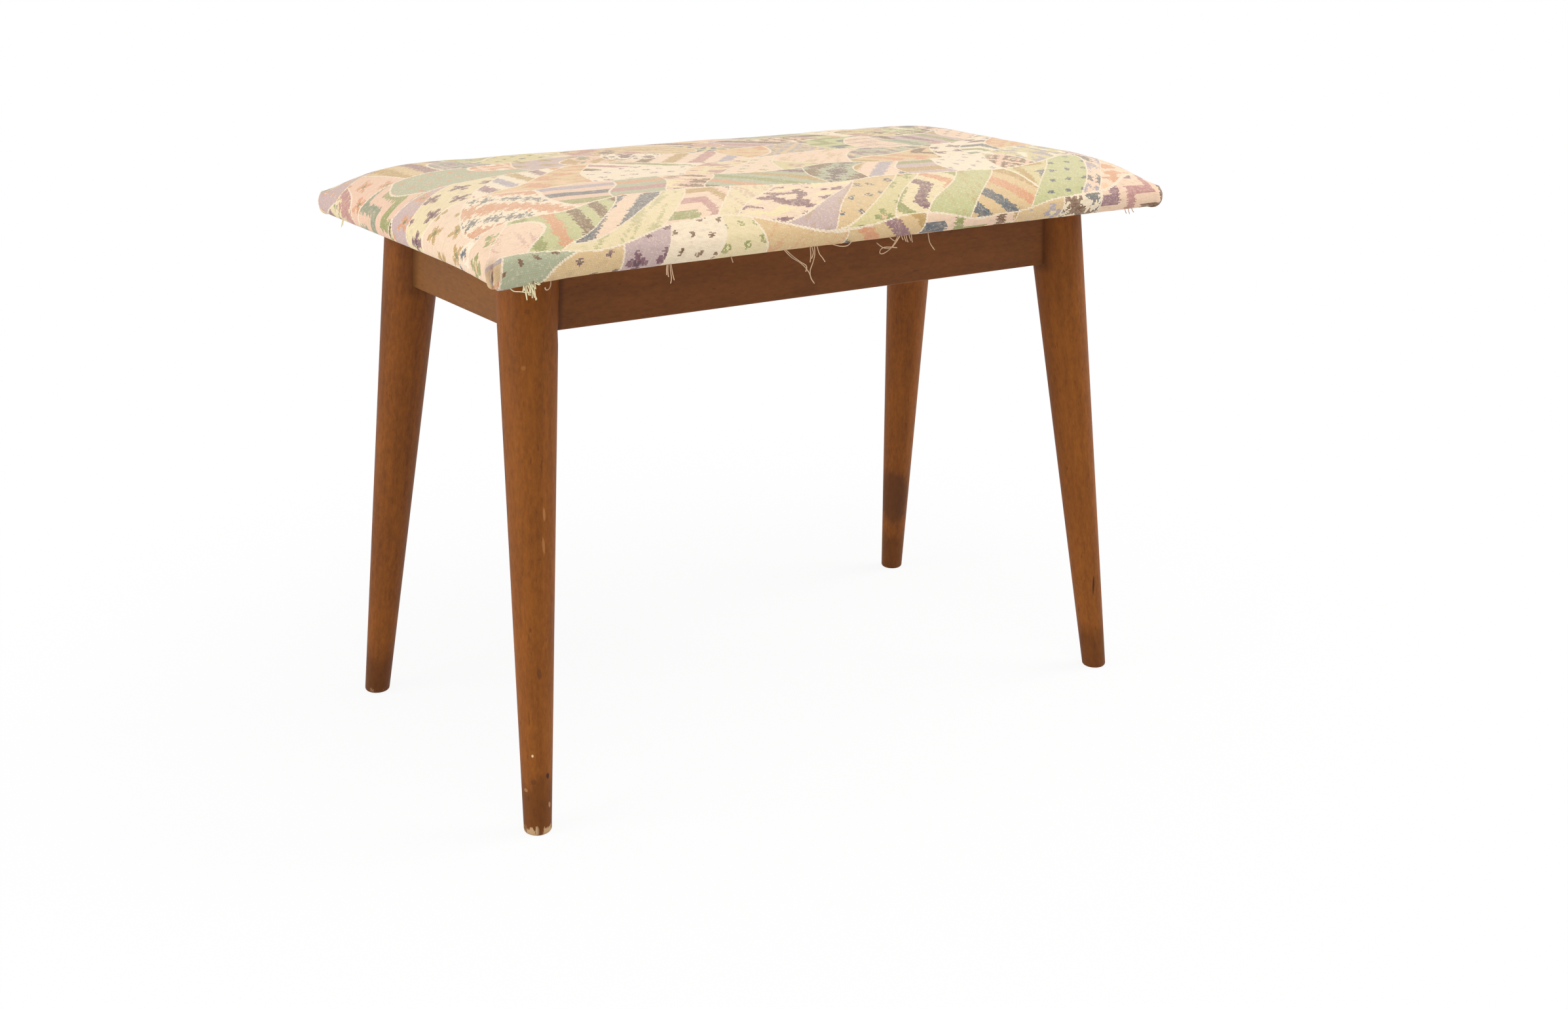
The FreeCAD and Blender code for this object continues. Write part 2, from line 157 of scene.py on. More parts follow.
def colour_property(name, description, colour):
    """A colour that a user may change, given as it looks on screen."""
    return bpy.props.FloatVectorProperty(
        name=name, description=description, subtype="COLOR", size=4, min=0.0, max=1.0, default=srgb(*colour)
    )


def length_property(name, description, millimetres):
    """A length that a user may change."""
    return bpy.props.FloatProperty(
        name=name, description=description, unit="LENGTH", subtype="DISTANCE", default=millimetres * MM
    )


def share_property(name, description, share):
    """A share from none to all that a user may change."""
    return bpy.props.FloatProperty(
        name=name, description=description, subtype="FACTOR", min=0.0, max=1.0, default=share
    )


def number_property(name, description, number, unit="NONE"):
    """A number that a user may change."""
    return bpy.props.FloatProperty(name=name, description=description, default=number, unit=unit)


class StoolCoverSettings(bpy.types.PropertyGroup):
    """Sizes and colours of the tapestry cover and its padding."""

    thickness: length_property("Cloth thickness", "Thickness of the tapestry", 1.0)
    grid_step: length_property("Grid step", "Distance between points on top of the cover", 3.0)
    slack: length_property("Slack", "Height of the crown that comes from blowing the cover up", 1.0)
    lump: length_property("Lumps", "Height of the padding's unevenness", 0.7)
    pleat_layer: length_property("Pleat layer", "How far the folded layer stands proud at a corner", 1.5)
    corner_droop: length_property("Corner droop", "How far the near corner's lower edge hangs down", 3.0)
    edge_droop: length_property("Edge droop", "How far the lower edges sink towards the near corner", 2.6)
    patch_height: length_property("Patch height", "Height of a course of patches", 50)
    patch_width: length_property("Patch width", "Least width of a patch", 50)
    pick: length_property("Pick", "Height of one weft thread, the step of the woven outlines", 0.9)
    outline: length_property("Outline thread", "Width of the pale thread between patches", 1.5)
    fade: share_property("Fade", "How far the top of the seat is bleached", 0.22)
    pale: colour_property("Pale thread", "Colour of the outlines and the bleached ground", (250, 230, 202))
    pad: colour_property("Padding", "Colour of the padding", (226, 210, 170))


class StoolWoodSettings(bpy.types.PropertyGroup):
    """Colours of the wood."""

    leg_light: colour_property("Leg, light", "Lighter stain of the legs", (158, 92, 30))
    leg_dark: colour_property("Leg, dark", "Darker stain of the legs", (104, 56, 17))
    apron_light: colour_property("Rail, light", "Lighter stain of the rails", (136, 82, 38))
    apron_dark: colour_property("Rail, dark", "Darker stain of the rails", (102, 58, 26))
    # The short sides' rails get a paler stain: painted light for their better lit faces
    lit_end_light: colour_property("End rail, light", "Lighter stain of the short sides' rails", (146, 94, 41))
    lit_end_dark: colour_property("End rail, dark", "Darker stain of the short sides' rails", (110, 67, 28))
    raw_light: colour_property("Raw wood, light", "Lighter colour of unfinished wood", (206, 168, 120))
    raw_dark: colour_property("Raw wood, dark", "Darker colour of unfinished wood", (168, 122, 78))
    worn: colour_property("Worn edge", "Bare wood where the stain is worn off", (204, 170, 128))
    foot_band: length_property("Foot band", "Height of the darkened band at a foot", 46)


class StoolFastenerSettings(bpy.types.PropertyGroup):
    """Sizes of the staples and screws."""

    staple_width: length_property("Staple width", "Outer width of a staple's crown", 10)
    staple_wire: length_property("Staple wire", "Thickness of a staple's wire", 0.8)
    staple_leg: length_property("Staple leg", "Height of a staple's legs", 8.8)
    block_screw_radius: length_property("Block screw radius", "Shank radius of a block screw", 2.0)
    block_screw_head: length_property("Block screw head", "Head radius of a block screw", 4.0)
    seat_screw_radius: length_property("Seat screw radius", "Shank radius of a seat screw", 2.25)
    seat_screw_head: length_property("Seat screw head", "Head radius of a seat screw", 4.5)
    screw_slot: length_property("Screw slot", "Width of the slot in a screw's head", 1.0)


class StoolThreadSettings(bpy.types.PropertyGroup):
    """Sizes and colour of the frayed threads."""

    radius: length_property("Thread radius", "Radius of the thickest loose thread", 0.32)
    seed: bpy.props.IntProperty(name="Seed", description="Choice of the threads' random shapes", default=7)
    colour: colour_property("Thread", "Colour of the loose threads", (214, 180, 144))
    straw: colour_property("Straw thread", "Colour of the near corner's threads", (242, 232, 192))


class StoolStageSettings(bpy.types.PropertyGroup):
    """Floor, lamps and camera."""

    floor: colour_property("Floor", "Colour of the floor", (236, 236, 236))
    shadow: share_property("Shadow", "How much of the object's shadow the floor shows", 0.1)
    world: number_property("World", "Strength of the light all round", 0.54)
    key: number_property("Key", "Power of the lamp on the left", 23.0, "POWER")
    fill: number_property("Fill", "Power of the lamp on the right", 31.0, "POWER")
    top: number_property("Top", "Power of the lamp above", 14.0, "POWER")
    lens: number_property("Lens", "Focal length in millimetres", 42.57)


class Value:
    """A number in a node tree: Python's operators on it add Math nodes."""

    def __init__(self, sheet, socket):
        self.sheet = sheet
        self.socket = socket

    def __add__(self, other):
        return self.sheet.math("ADD", self, other)

    def __radd__(self, other):
        return self.sheet.math("ADD", other, self)

    def __sub__(self, other):
        return self.sheet.math("SUBTRACT", self, other)

    def __rsub__(self, other):
        return self.sheet.math("SUBTRACT", other, self)

    def __mul__(self, other):
        return self.sheet.math("MULTIPLY", self, other)

    def __rmul__(self, other):
        return self.sheet.math("MULTIPLY", other, self)

    def __truediv__(self, other):
        return self.sheet.math("DIVIDE", self, other)

    def __lt__(self, other):
        return self.sheet.math("LESS_THAN", self, other)

    def __gt__(self, other):
        return self.sheet.math("GREATER_THAN", self, other)

    def __abs__(self):
        return self.sheet.math("ABSOLUTE", self)

    def floor(self):
        return self.sheet.math("FLOOR", self)

    def part(self):
        """What is left over above the whole number."""
        return self.sheet.math("FRACT", self)

    def sine(self):
        return self.sheet.math("SINE", self)

    def root(self):
        return self.sheet.math("SQRT", self)

    def least(self, other):
        return self.sheet.math("MINIMUM", self, other)

    def most(self, other):
        return self.sheet.math("MAXIMUM", self, other)

    def steps(self, size):
        """The number rounded down to whole steps."""
        return (self / size).floor() * size

    def zigzag(self, size):
        """The number folded back and forth between 0 and the size."""
        return self.sheet.math("PINGPONG", self, size)

    def between(self, low, high):
        return (self > low) * (self < high)


class NodeSheet:
    """Adds nodes to one tree."""

    math_node = "ShaderNodeMath"

    def __init__(self, tree):
        self.tree = tree

    def node(self, kind, settings=None, sockets=None):
        """Adds a node: its settings first, then the values or links of its sockets."""
        made = self.tree.nodes.new(kind)
        for name, setting in (settings or {}).items():
            if name == "stops":
                self.set_stops(made.color_ramp, setting)
            else:
                setattr(made, name, setting)
        for key, given in (sockets or {}).items():
            self.fill(made.inputs[key], given)
        return made

    def fill(self, socket, given):
        """Links a socket to another one, or sets its value."""
        if isinstance(given, Value):
            given = given.socket
        if isinstance(given, bpy.types.NodeSocket):
            self.tree.links.new(given, socket)
        else:
            socket.default_value = given

    def set_stops(self, ramp, stops):
        """Gives a colour ramp its stops: pairs of place and colour."""
        while len(ramp.elements) < len(stops):
            ramp.elements.new(1.0)
        for element, (place, colour) in zip(ramp.elements, stops):
            element.position = place
            element.color = colour

    def value(self, made, output=0):
        return Value(self, made.outputs[output])

    def math(self, operation, *terms):
        return self.value(self.node(self.math_node, {"operation": operation}, dict(enumerate(terms))))

    def smooth(self, given, low, high):
        """Rises from 0 at low to 1 at high."""
        sockets = {"Value": given, "From Min": low, "From Max": high}
        return self.value(self.node("ShaderNodeMapRange", {"interpolation_type": "SMOOTHSTEP"}, sockets))

    def vector(self, x, y, z=0.0):
        return self.node("ShaderNodeCombineXYZ", None, {0: x, 1: y, 2: z}).outputs[0]

    def parts(self, vector):
        """The three numbers of a vector."""
        made = self.node("ShaderNodeSeparateXYZ", None, {0: vector})
        return [self.value(made, output) for output in range(3)]

    def scaled(self, vector, scale):
        made = self.node("ShaderNodeVectorMath", {"operation": "MULTIPLY"}, {0: vector, 1: scale})
        return made.outputs[0]


class Finish(NodeSheet):
    """The nodes of one material."""

    def __init__(self, name):
        self.material = bpy.data.materials.new(name)
        self.material.use_nodes = True
        self.material.node_tree.nodes.clear()
        super().__init__(self.material.node_tree)

    def object_place(self):
        return self.node("ShaderNodeTexCoord").outputs["Object"]

    def local_place(self, origin, turn):
        """Places counted from an origin, along turned axes."""
        sockets = {"Vector": self.object_place(), "Location": origin, "Rotation": turn}
        return self.node("ShaderNodeMapping", {"vector_type": "TEXTURE"}, sockets).outputs[0]

    def noise(self, place, scale, detail=2.0, roughness=0.5):
        stretched = self.scaled(place, scale)
        sockets = {"Vector": stretched, "Scale": 1.0, "Detail": detail, "Roughness": roughness}
        return self.value(self.node("ShaderNodeTexNoise", None, sockets))

    def chance(self, x, y, z):
        """Three even random numbers, the same wherever x, y and z are the same."""
        place = self.vector(x, y, z)
        made = self.node("ShaderNodeTexWhiteNoise", {"noise_dimensions": "3D"}, {"Vector": place})
        split = self.node("ShaderNodeSeparateColor", None, {0: made.outputs["Color"]})
        return [self.value(split, output) for output in range(3)]

    def spot_distance(self, spot, wide, high):
        """Distance from a spot, 1 on the rim of an upright egg. Everything in millimetres."""
        centre = [part * MM for part in spot]
        place = self.object_place()
        off = self.node("ShaderNodeVectorMath", {"operation": "SUBTRACT"}, {0: place, 1: centre})
        sizes = (1 / (wide * MM), 1 / (wide * MM), 1 / (high * MM))
        scaled = self.scaled(off.outputs[0], sizes)
        return self.value(self.node("ShaderNodeVectorMath", {"operation": "LENGTH"}, {0: scaled}), 1)

    def moved(self, place, way):
        """Places moved by a fixed step, so that like pieces differ."""
        return self.node("ShaderNodeVectorMath", None, {0: place, 1: way}).outputs[0]

    def mix(self, share, first, second, blend="MIX"):
        """A colour between two others."""
        settings = {"data_type": "RGBA", "blend_type": blend, "clamp_factor": True}
        return self.node("ShaderNodeMix", settings, {0: share, 6: first, 7: second}).outputs[2]

    def palette(self, given, colours):
        """One colour of several, chosen by a number from 0 to 1."""
        stops = [(index / len(colours), colour) for index, colour in enumerate(colours)]
        made = self.node("ShaderNodeValToRGB", {"stops": stops}, {0: given})
        made.color_ramp.interpolation = "CONSTANT"
        return made.outputs[0]

    def finish(self, sockets, height, bump, distance):
        """Ends the material in a Principled shader with a bump."""
        relief = {"Strength": bump, "Distance": distance, "Height": height}
        made = self.node("ShaderNodeBump", None, relief)
        sockets = {**sockets, "Normal": made.outputs[0]}
        shader = self.node("ShaderNodeBsdfPrincipled", None, sockets)
        self.node("ShaderNodeOutputMaterial", None, {"Surface": shader.outputs[0]})
        return self.material


class GeometryTree(NodeSheet):
    """A Geometry Nodes tree with named inputs."""

    SOCKET_KINDS = {float: "NodeSocketFloat", int: "NodeSocketInt"}

    def __init__(self, name, inputs):
        super().__init__(bpy.data.node_groups.new(name, "GeometryNodeTree"))
        self.inputs = inputs
        interface = self.tree.interface
        interface.new_socket(name="Geometry", in_out="INPUT", socket_type="NodeSocketGeometry")
        for title, given in inputs.items():
            kind = self.SOCKET_KINDS.get(type(given), "NodeSocketMaterial")
            interface.new_socket(name=title, in_out="INPUT", socket_type=kind)
        interface.new_socket(name="Geometry", in_out="OUTPUT", socket_type="NodeSocketGeometry")
        self.source = self.node("NodeGroupInput")

    def given(self, title):
        """The socket of a named input."""
        return self.source.outputs[title]

    def number(self, title):
        return Value(self, self.given(title))

    def attribute(self, name, kind):
        made = self.node("GeometryNodeInputNamedAttribute", {"data_type": kind}, {"Name": name})
        return made.outputs["Attribute"]

    def tube(self, curve, radius, sides):
        """A round, closed wire along a curve."""
        round_line = {"Resolution": sides, "Radius": radius}
        circle = self.node("GeometryNodeCurvePrimitiveCircle", None, round_line)
        sockets = {"Curve": curve, "Profile Curve": circle.outputs[0], "Fill Caps": True}
        return self.node("GeometryNodeCurveToMesh", None, sockets).outputs[0]

    def on_points(self, shape, turn):
        """Sets a shape on every point of the tree's own geometry."""
        sockets = {"Points": self.given("Geometry"), "Instance": shape, "Rotation": turn}
        return self.node("GeometryNodeInstanceOnPoints", None, sockets).outputs[0]

    def close(self, geometry):
        """Ends the tree: instances made real, material set."""
        real = self.node("GeometryNodeRealizeInstances", None, {0: geometry})
        dress = {"Geometry": real.outputs[0], "Material": self.given("Material")}
        dressed = self.node("GeometryNodeSetMaterial", None, dress)
        self.node("NodeGroupOutput", None, {0: dressed.outputs[0]})

    def run(self, thing):
        """Runs the tree on an object and leaves the result as the object's plain mesh."""
        modifier = thing.modifiers.new(self.tree.name, "NODES")
        modifier.node_group = self.tree
        for item in self.tree.interface.items_tree:
            if item.in_out == "INPUT" and item.name in self.inputs:
                modifier[item.identifier] = self.inputs[item.name]
        bake_modifiers(thing)


def bake_modifiers(thing):
    """Turns an object's evaluated form into its plain mesh and takes the modifiers off."""
    graph = bpy.context.evaluated_depsgraph_get()
    mesh = bpy.data.meshes.new_from_object(thing.evaluated_get(graph))
    thing.modifiers.clear()
    old = thing.data
    thing.data = mesh
    mesh.name = thing.name
    bpy.data.meshes.remove(old)


def add_object(name, mesh):
    """Puts a mesh into the scene as an object at the origin."""
    thing = bpy.data.objects.new(name, mesh)
    bpy.context.scene.collection.objects.link(thing)
    return thing


def dress_node(name, material):
    """Gives a CAD node its material."""
    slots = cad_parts[name].data.materials
    slots.clear()
    slots.append(material)


def seat_noise(x, y, layers):
    """Noise at a place of the seat: layers of scale, depth in the noise and share, added up."""
    return sum(share * noise.noise(Vector((x * scale, y * scale, depth))) for scale, depth, share in layers)


def crown_share(distance):
    """How much of the crown is reached at a distance in from the edge."""
    near = min(max(distance, 0.0) / CROWN_REACH, 1.0)
    return 1.0 - (1.0 - near) ** CROWN_FULLNESS


def plain_crown(x, y):
    """The crown's share at a place of the seat, from 0 at the edge to 1 in the middle."""
    along = crown_share(HALF_LENGTH - NOSE_INSET - abs(x))
    across = crown_share(HALF_DEPTH - NOSE_INSET - abs(y))
    return along * across


class Swelling:
    """How far the cover rises when it is blown up: a coarse sheet in Blender's cloth simulation."""

    STEPS_X = 72
    STEPS_Y = 36
    FRAMES = 20
    PRESSURE = 4.0
    CAP = 8 * MM
    TINY = 1e-6
    # Lumps of the padding: noise scale, depth in the noise and share of their height
    LUMPS = ((17, 3.1, 1.0), (41, 8.4, 0.5))
    # How fast the lumps grow with the crown, from the edge inwards
    LUMP_GROWTH = 1.6

    def __init__(self, slack, lump):
        self.slack = slack
        self.lump = lump
        self.xs = np.linspace(-HALF_LENGTH + NOSE_INSET, HALF_LENGTH - NOSE_INSET, self.STEPS_X + 1)
        self.ys = np.linspace(-HALF_DEPTH + NOSE_INSET, HALF_DEPTH - NOSE_INSET, self.STEPS_Y + 1)
        self.rise = self.simulate()

    def start_sheet(self):
        """The sheet before it is blown up, with its border pinned."""
        start = CROWN - self.slack
        points = [(x, y, EDGE_TOP + start * plain_crown(x, y)) for y in self.ys for x in self.xs]
        row = self.STEPS_X + 1
        faces = []
        for j in range(self.STEPS_Y):
            for i in range(self.STEPS_X):
                corner = j * row + i
                faces.append((corner, corner + 1, corner + row + 1, corner + row))
        mesh = bpy.data.meshes.new("swelling_sheet")
        mesh.from_pydata(points, [], faces)
        sheet = add_object("swelling_sheet", mesh)
        border = sheet.vertex_groups.new(name="border")
        for index in range(len(points)):
            j, i = divmod(index, row)
            if i in (0, self.STEPS_X) or j in (0, self.STEPS_Y):
                border.add([index], 1.0, "REPLACE")
        return sheet

    def simulate(self):
        """Heights that the sheet gains, scaled so that its middle gains the slack."""
        sheet = self.start_sheet()
        before = np.array([vertex.co.z for vertex in sheet.data.vertices])
        modifier = sheet.modifiers.new("cloth", "CLOTH")
        cloth = modifier.settings
        cloth.quality = 6
        cloth.mass = 0.3
        cloth.tension_stiffness = 15
        cloth.compression_stiffness = 15
        cloth.shear_stiffness = 5
        cloth.bending_stiffness = 0.5
        cloth.vertex_group_mass = "border"
        cloth.use_pressure = True
        cloth.uniform_pressure_force = self.PRESSURE
        cloth.effector_weights.gravity = 0.0
        modifier.collision_settings.use_collision = False
        modifier.point_cache.frame_start = 1
        modifier.point_cache.frame_end = self.FRAMES
        scene = bpy.context.scene
        for number in range(1, self.FRAMES + 1):
            scene.frame_set(number)
        graph = bpy.context.evaluated_depsgraph_get()
        blown = sheet.evaluated_get(graph).to_mesh()
        after = np.array([vertex.co.z for vertex in blown.vertices])
        scene.frame_set(1)
        mesh = sheet.data
        bpy.data.objects.remove(sheet)
        bpy.data.meshes.remove(mesh)
        gain = np.clip(after - before, 0.0, self.CAP)
        gain *= self.slack / max(float(gain.max()), self.TINY)
        return gain.reshape(self.STEPS_Y + 1, self.STEPS_X + 1)

    def gain_at(self, x, y):
        """The gain at a place, between the sheet's points."""
        across = np.clip((x - self.xs[0]) / (self.xs[1] - self.xs[0]), 0, self.STEPS_X - self.TINY)
        down = np.clip((y - self.ys[0]) / (self.ys[1] - self.ys[0]), 0, self.STEPS_Y - self.TINY)
        i = int(across)
        j = int(down)
        s = across - i
        t = down - j
        near = self.rise[j, i] * (1 - s) + self.rise[j, i + 1] * s
        far = self.rise[j + 1, i] * (1 - s) + self.rise[j + 1, i + 1] * s
        return near * (1 - t) + far * t

    def height(self, x, y):
        """Height of the finished cover at a place of its top."""
        share = plain_crown(x, y)
        lump = self.lump * seat_noise(x, y, self.LUMPS) * min(1.0, self.LUMP_GROWTH * share)
        return EDGE_TOP + (CROWN - self.slack) * share + self.gain_at(x, y) + lump


class SeatSkin:
    """Points and faces of a sheet drawn over the seat: a grid on top, rings over the edge and under it."""

    CORNER_STARTS = (-90.0, 0.0, 90.0, 180.0)
    CORNER_SIGNS = ((1, -1), (1, 1), (-1, 1), (-1, -1))
    # For each corner: how much of its rounding is gone at the lower edge
    SQUARE = (0.1, 0.0, 0.0, 0.25)
    # The near corner's pinch, a groove and the ridges beside it: place round the corner, width, height
    PINCHED_CORNER = 3
    PINCH = ((0.29, 0.035, -2.6 * MM), (0.42, 0.08, 0.8 * MM), (0.15, 0.07, 0.6 * MM))
    PLAIN_COLUMNS = 40
    MEASURE_STEPS = 600
    MERGE_DISTANCE = 0.01 * MM

    def __init__(self, swelling, step, inward=0.0):
        self.swelling = swelling
        self.inward = inward
        self.points = []
        self.flats = []
        self.faces = []
        inner_x = HALF_LENGTH - CORNER_RADIUS
        inner_y = HALF_DEPTH - CORNER_RADIUS
        self.xs = np.linspace(-inner_x, inner_x, 2 * round(inner_x / step) + 1)
        self.ys = np.linspace(-inner_y, inner_y, 2 * round(inner_y / step) + 1)
        self.flat_xs = self.flat_line(self.xs, HALF_LENGTH)
        self.flat_ys = self.flat_line(self.ys, HALF_DEPTH)

    def flat_line(self, places, half):
        """Lengths along the crowned cloth, from the middle, of places along one of the seat's axes."""
        fine = np.linspace(0.0, places[-1], self.MEASURE_STEPS)
        heights = np.array([CROWN * crown_share(half - NOSE_INSET - place) for place in fine])
        lengths = np.concatenate([[0.0], np.cumsum(np.hypot(np.diff(fine), np.diff(heights)))])
        return np.sign(places) * np.interp(np.abs(places), fine, lengths)

    def add_point(self, place, flat):
        self.points.append(place)
        self.flats.append(flat)
        return len(self.points) - 1

    def add_grid(self):
        """The top inside the rings."""
        rows = []
        for y, flat_y in zip(self.ys, self.flat_ys):
            row = []
            for x, flat_x in zip(self.xs, self.flat_xs):
                height = self.swelling.height(x, y) - self.inward
                row.append(self.add_point((x, y, height), (flat_x, flat_y)))
            rows.append(row)
        for low, high in zip(rows, rows[1:]):
            for i in range(len(low) - 1):
                self.faces.append((low[i], low[i + 1], high[i + 1], high[i]))

    def side_columns(self):
        """The straight columns of the four sides in order round the seat, with their outward directions."""
        along_x = list(zip(self.xs, self.flat_xs))
        along_y = list(zip(self.ys, self.flat_ys))
        return (
            [((x, self.ys[0]), (flat, self.flat_ys[0]), (0, -1)) for x, flat in along_x],
            [((self.xs[-1], y), (self.flat_xs[-1], flat), (1, 0)) for y, flat in along_y],
            [((x, self.ys[-1]), (flat, self.flat_ys[-1]), (0, 1)) for x, flat in reversed(along_x)],
            [((self.xs[0], y), (self.flat_xs[0], flat), (-1, 0)) for y, flat in reversed(along_y)],
        )

    def add_ring(self, ring):
        """One ring's points: side, corner, side, corner and so on."""
        indices = []
        for side, columns in enumerate(self.side_columns()):
            for place, flat, way in columns:
                indices.append(self.side_point(ring, place, flat, way))
            indices.extend(self.corner_points(ring, side))
        return indices

    def side_point(self, ring, place, flat, way):
        reach = CORNER_RADIUS - ring.inset - self.inward
        x = place[0] + way[0] * reach
        y = place[1] + way[1] * reach
        if reach < 0:
            # The hems of two sides meet along a mitre
            x = min(max(x, -self.xs[-1] - reach), self.xs[-1] + reach)
            y = min(max(y, -self.ys[-1] - reach), self.ys[-1] + reach)
        spot = (x, y, self.ring_height(ring, x, y))
        return self.add_point(spot, (flat[0] + way[0] * ring.reach, flat[1] + way[1] * ring.reach))

    def ring_height(self, ring, x, y):
        if ring.height is None:
            return self.swelling.height(x, y) - self.inward
        return ring.height + ring.sag * edge_sag(x, y) + self.inward * ring.lift

    def corner_points(self, ring, side):
        """The points of one corner, without its first and last column."""
        sign_x, sign_y = self.CORNER_SIGNS[side]
        pole = (sign_x * self.xs[-1], sign_y * self.ys[-1])
        flat_pole = (sign_x * self.flat_xs[-1], sign_y * self.flat_ys[-1])
        radius = CORNER_RADIUS - ring.inset - self.inward
        inset_shift = min(radius, 0.0)
        radius = max(radius, 0.0)
        tip_radius = radius * (1.0 - self.SQUARE[side] * ring.low)
        start = math.radians(self.CORNER_STARTS[side])
        cosine = math.cos(start)
        sine = math.sin(start)
        indices = []
        for share, flat_share, proud in self.corner_columns(ring, side, radius):
            if side == self.PINCHED_CORNER:
                proud += ring.low * self.pinch(share)
            (out, along), way = corner_place(share, radius, tip_radius)
            out += way[0] * proud * ring.normal[0]
            along += way[1] * proud * ring.normal[0]
            x = pole[0] + out * cosine - along * sine + sign_x * inset_shift
            y = pole[1] + out * sine + along * cosine + sign_y * inset_shift
            height = self.ring_height(ring, x, y) + proud * ring.normal[1]
            flat_turn = start + flat_share * math.pi / 2
            flat_x = flat_pole[0] + math.cos(flat_turn) * ring.reach
            flat_y = flat_pole[1] + math.sin(flat_turn) * ring.reach
            indices.append(self.add_point((x, y, height), (flat_x, flat_y)))
        return indices

    def corner_columns(self, ring, side, radius):
        """A plain corner's columns: share of the way round, the same on the flat cloth, and layer."""
        count = self.PLAIN_COLUMNS
        return [(i / count, i / count, 0.0) for i in range(1, count)]

    def pinch(self, share):
        """How far the pinched corner stands out at a place round it."""
        return sum(height * math.exp(-((share - place) / width) ** 2) for place, width, height in self.PINCH)

    def add_rings(self, rings):
        """All the rings, joined to each other. The first one lies on the grid's border."""
        lines = [self.add_ring(ring) for ring in rings]
        for inner, outer in zip(lines, lines[1:]):
            count = len(inner)
            for i in range(count):
                following = (i + 1) % count
                self.faces.append((inner[i], outer[i], outer[following], inner[following]))
        return lines[-1]

    def make_mesh(self, name):
        """The mesh, its flat cloth places as a UV map, points that fall together merged."""
        mesh = bpy.data.meshes.new(name)
        mesh.from_pydata(self.points, [], self.faces)
        layer = mesh.uv_layers.new(name="cloth")
        for loop in mesh.loops:
            layer.data[loop.index].uv = self.flats[loop.vertex_index]
        form = bmesh.new()
        form.from_mesh(mesh)
        bmesh.ops.remove_doubles(form, verts=form.verts, dist=self.MERGE_DISTANCE)
        form.to_mesh(mesh)
        form.free()
        mesh.shade_smooth()
        return mesh


class CoverSkin(SeatSkin):
    """The tapestry, with a pleat at each corner where the spare cloth is folded away."""

    OUTER_COLUMNS = 52
    MIDDLE_COLUMNS = 6
    INNER_COLUMNS = 14
    MIDDLE_LAYER = 0.15 * MM
    # Spare cloth at which a pleat is wholly open, and how much of the outer layer it may go back under
    OPEN_SPARE = 5 * MM
    MOST_DEPTH = 0.85
    # How far the fold bulges, as a share of the layer, and its points as shares of the bulge and the layer
    BULGE = 0.45
    FOLD_POINTS = ((0.7, 0.86), (1.0, 0.5), (0.7, 0.16))
    # For each corner: how far round the fold lies, and whether the cloth of the side before it lies outside
    FOLDS = ((0.8, True), (0.3, False), (0.2, False), (0.03, False))

    def __init__(self, swelling, step, layer):
        super().__init__(swelling, step)
        self.layer = layer

    def corner_columns(self, ring, side, radius):
        """A corner's columns: outer layer to the fold, middle layer back, inner layer to the next side."""
        fold_share, first_outside = self.FOLDS[side]
        quarter = math.pi / 2
        arc = radius * quarter
        fold = arc * (fold_share if first_outside else 1.0 - fold_share)
        depth = min(ring.spare * quarter / 2, fold * self.MOST_DEPTH)
        open_share = min(1.0, ring.spare / self.OPEN_SPARE)
        layer = self.layer * open_share
        bulge = self.BULGE * layer
        columns = []
        for i in range(1, self.OUTER_COLUMNS + 1):
            part = i / self.OUTER_COLUMNS
            columns.append((fold * part, fold * part, layer * part * part * (3 - 2 * part)))
        for out, up in self.FOLD_POINTS:
            columns.append((fold + bulge * out, fold, layer * up))
        for i in range(self.MIDDLE_COLUMNS + 1):
            part = i / self.MIDDLE_COLUMNS
            columns.append((fold - depth * part, fold + depth * part, self.MIDDLE_LAYER * open_share))
        rest = arc - fold + depth
        for i in range(self.INNER_COLUMNS):
            part = i / self.INNER_COLUMNS
            columns.append((fold - depth + rest * part, fold + depth + rest * part, 0.0))
        placed = []
        for index, (along, flat_along, proud) in enumerate(columns):
            share = along / arc if arc > 0 else index / len(columns)
            flat_share = flat_along / (arc + 2 * depth) if arc > 0 else share
            placed.append((share, flat_share, proud))
        if first_outside:
            return placed
        return [(1.0 - share, 1.0 - flat_share, proud) for share, flat_share, proud in reversed(placed)]


def corner_place(share, radius, tip_radius):
    """A place on a corner, from its pole towards its first side and along it, and its outward direction."""
    straight = radius - tip_radius
    arc = tip_radius * math.pi / 2
    along = share * (2 * straight + arc)
    if along <= straight or tip_radius <= 0:
        return (radius, along), (1.0, 0.0)
    if along >= straight + arc:
        return (2 * straight + arc - along, radius), (0.0, 1.0)
    turn = (along - straight) / tip_radius
    way = (math.cos(turn), math.sin(turn))
    return (straight + tip_radius * way[0], straight + tip_radius * way[1]), way


class Ring:
    """One ring of a seat skin: where it lies across the edge, and the cloth's reach to it from the grid."""

    def __init__(self, inset, height, sag=0.0, lift=0.0):
        self.inset = inset
        self.height = height
        self.sag = sag
        self.lift = lift
        self.reach = 0.0
        self.spare = 0.0
        self.normal = (0.0, 0.0)
        self.low = 0.0
        if height is not None:
            self.low = min(1.0, max(0.0, (EDGE_TOP - height) / LOW_REACH))


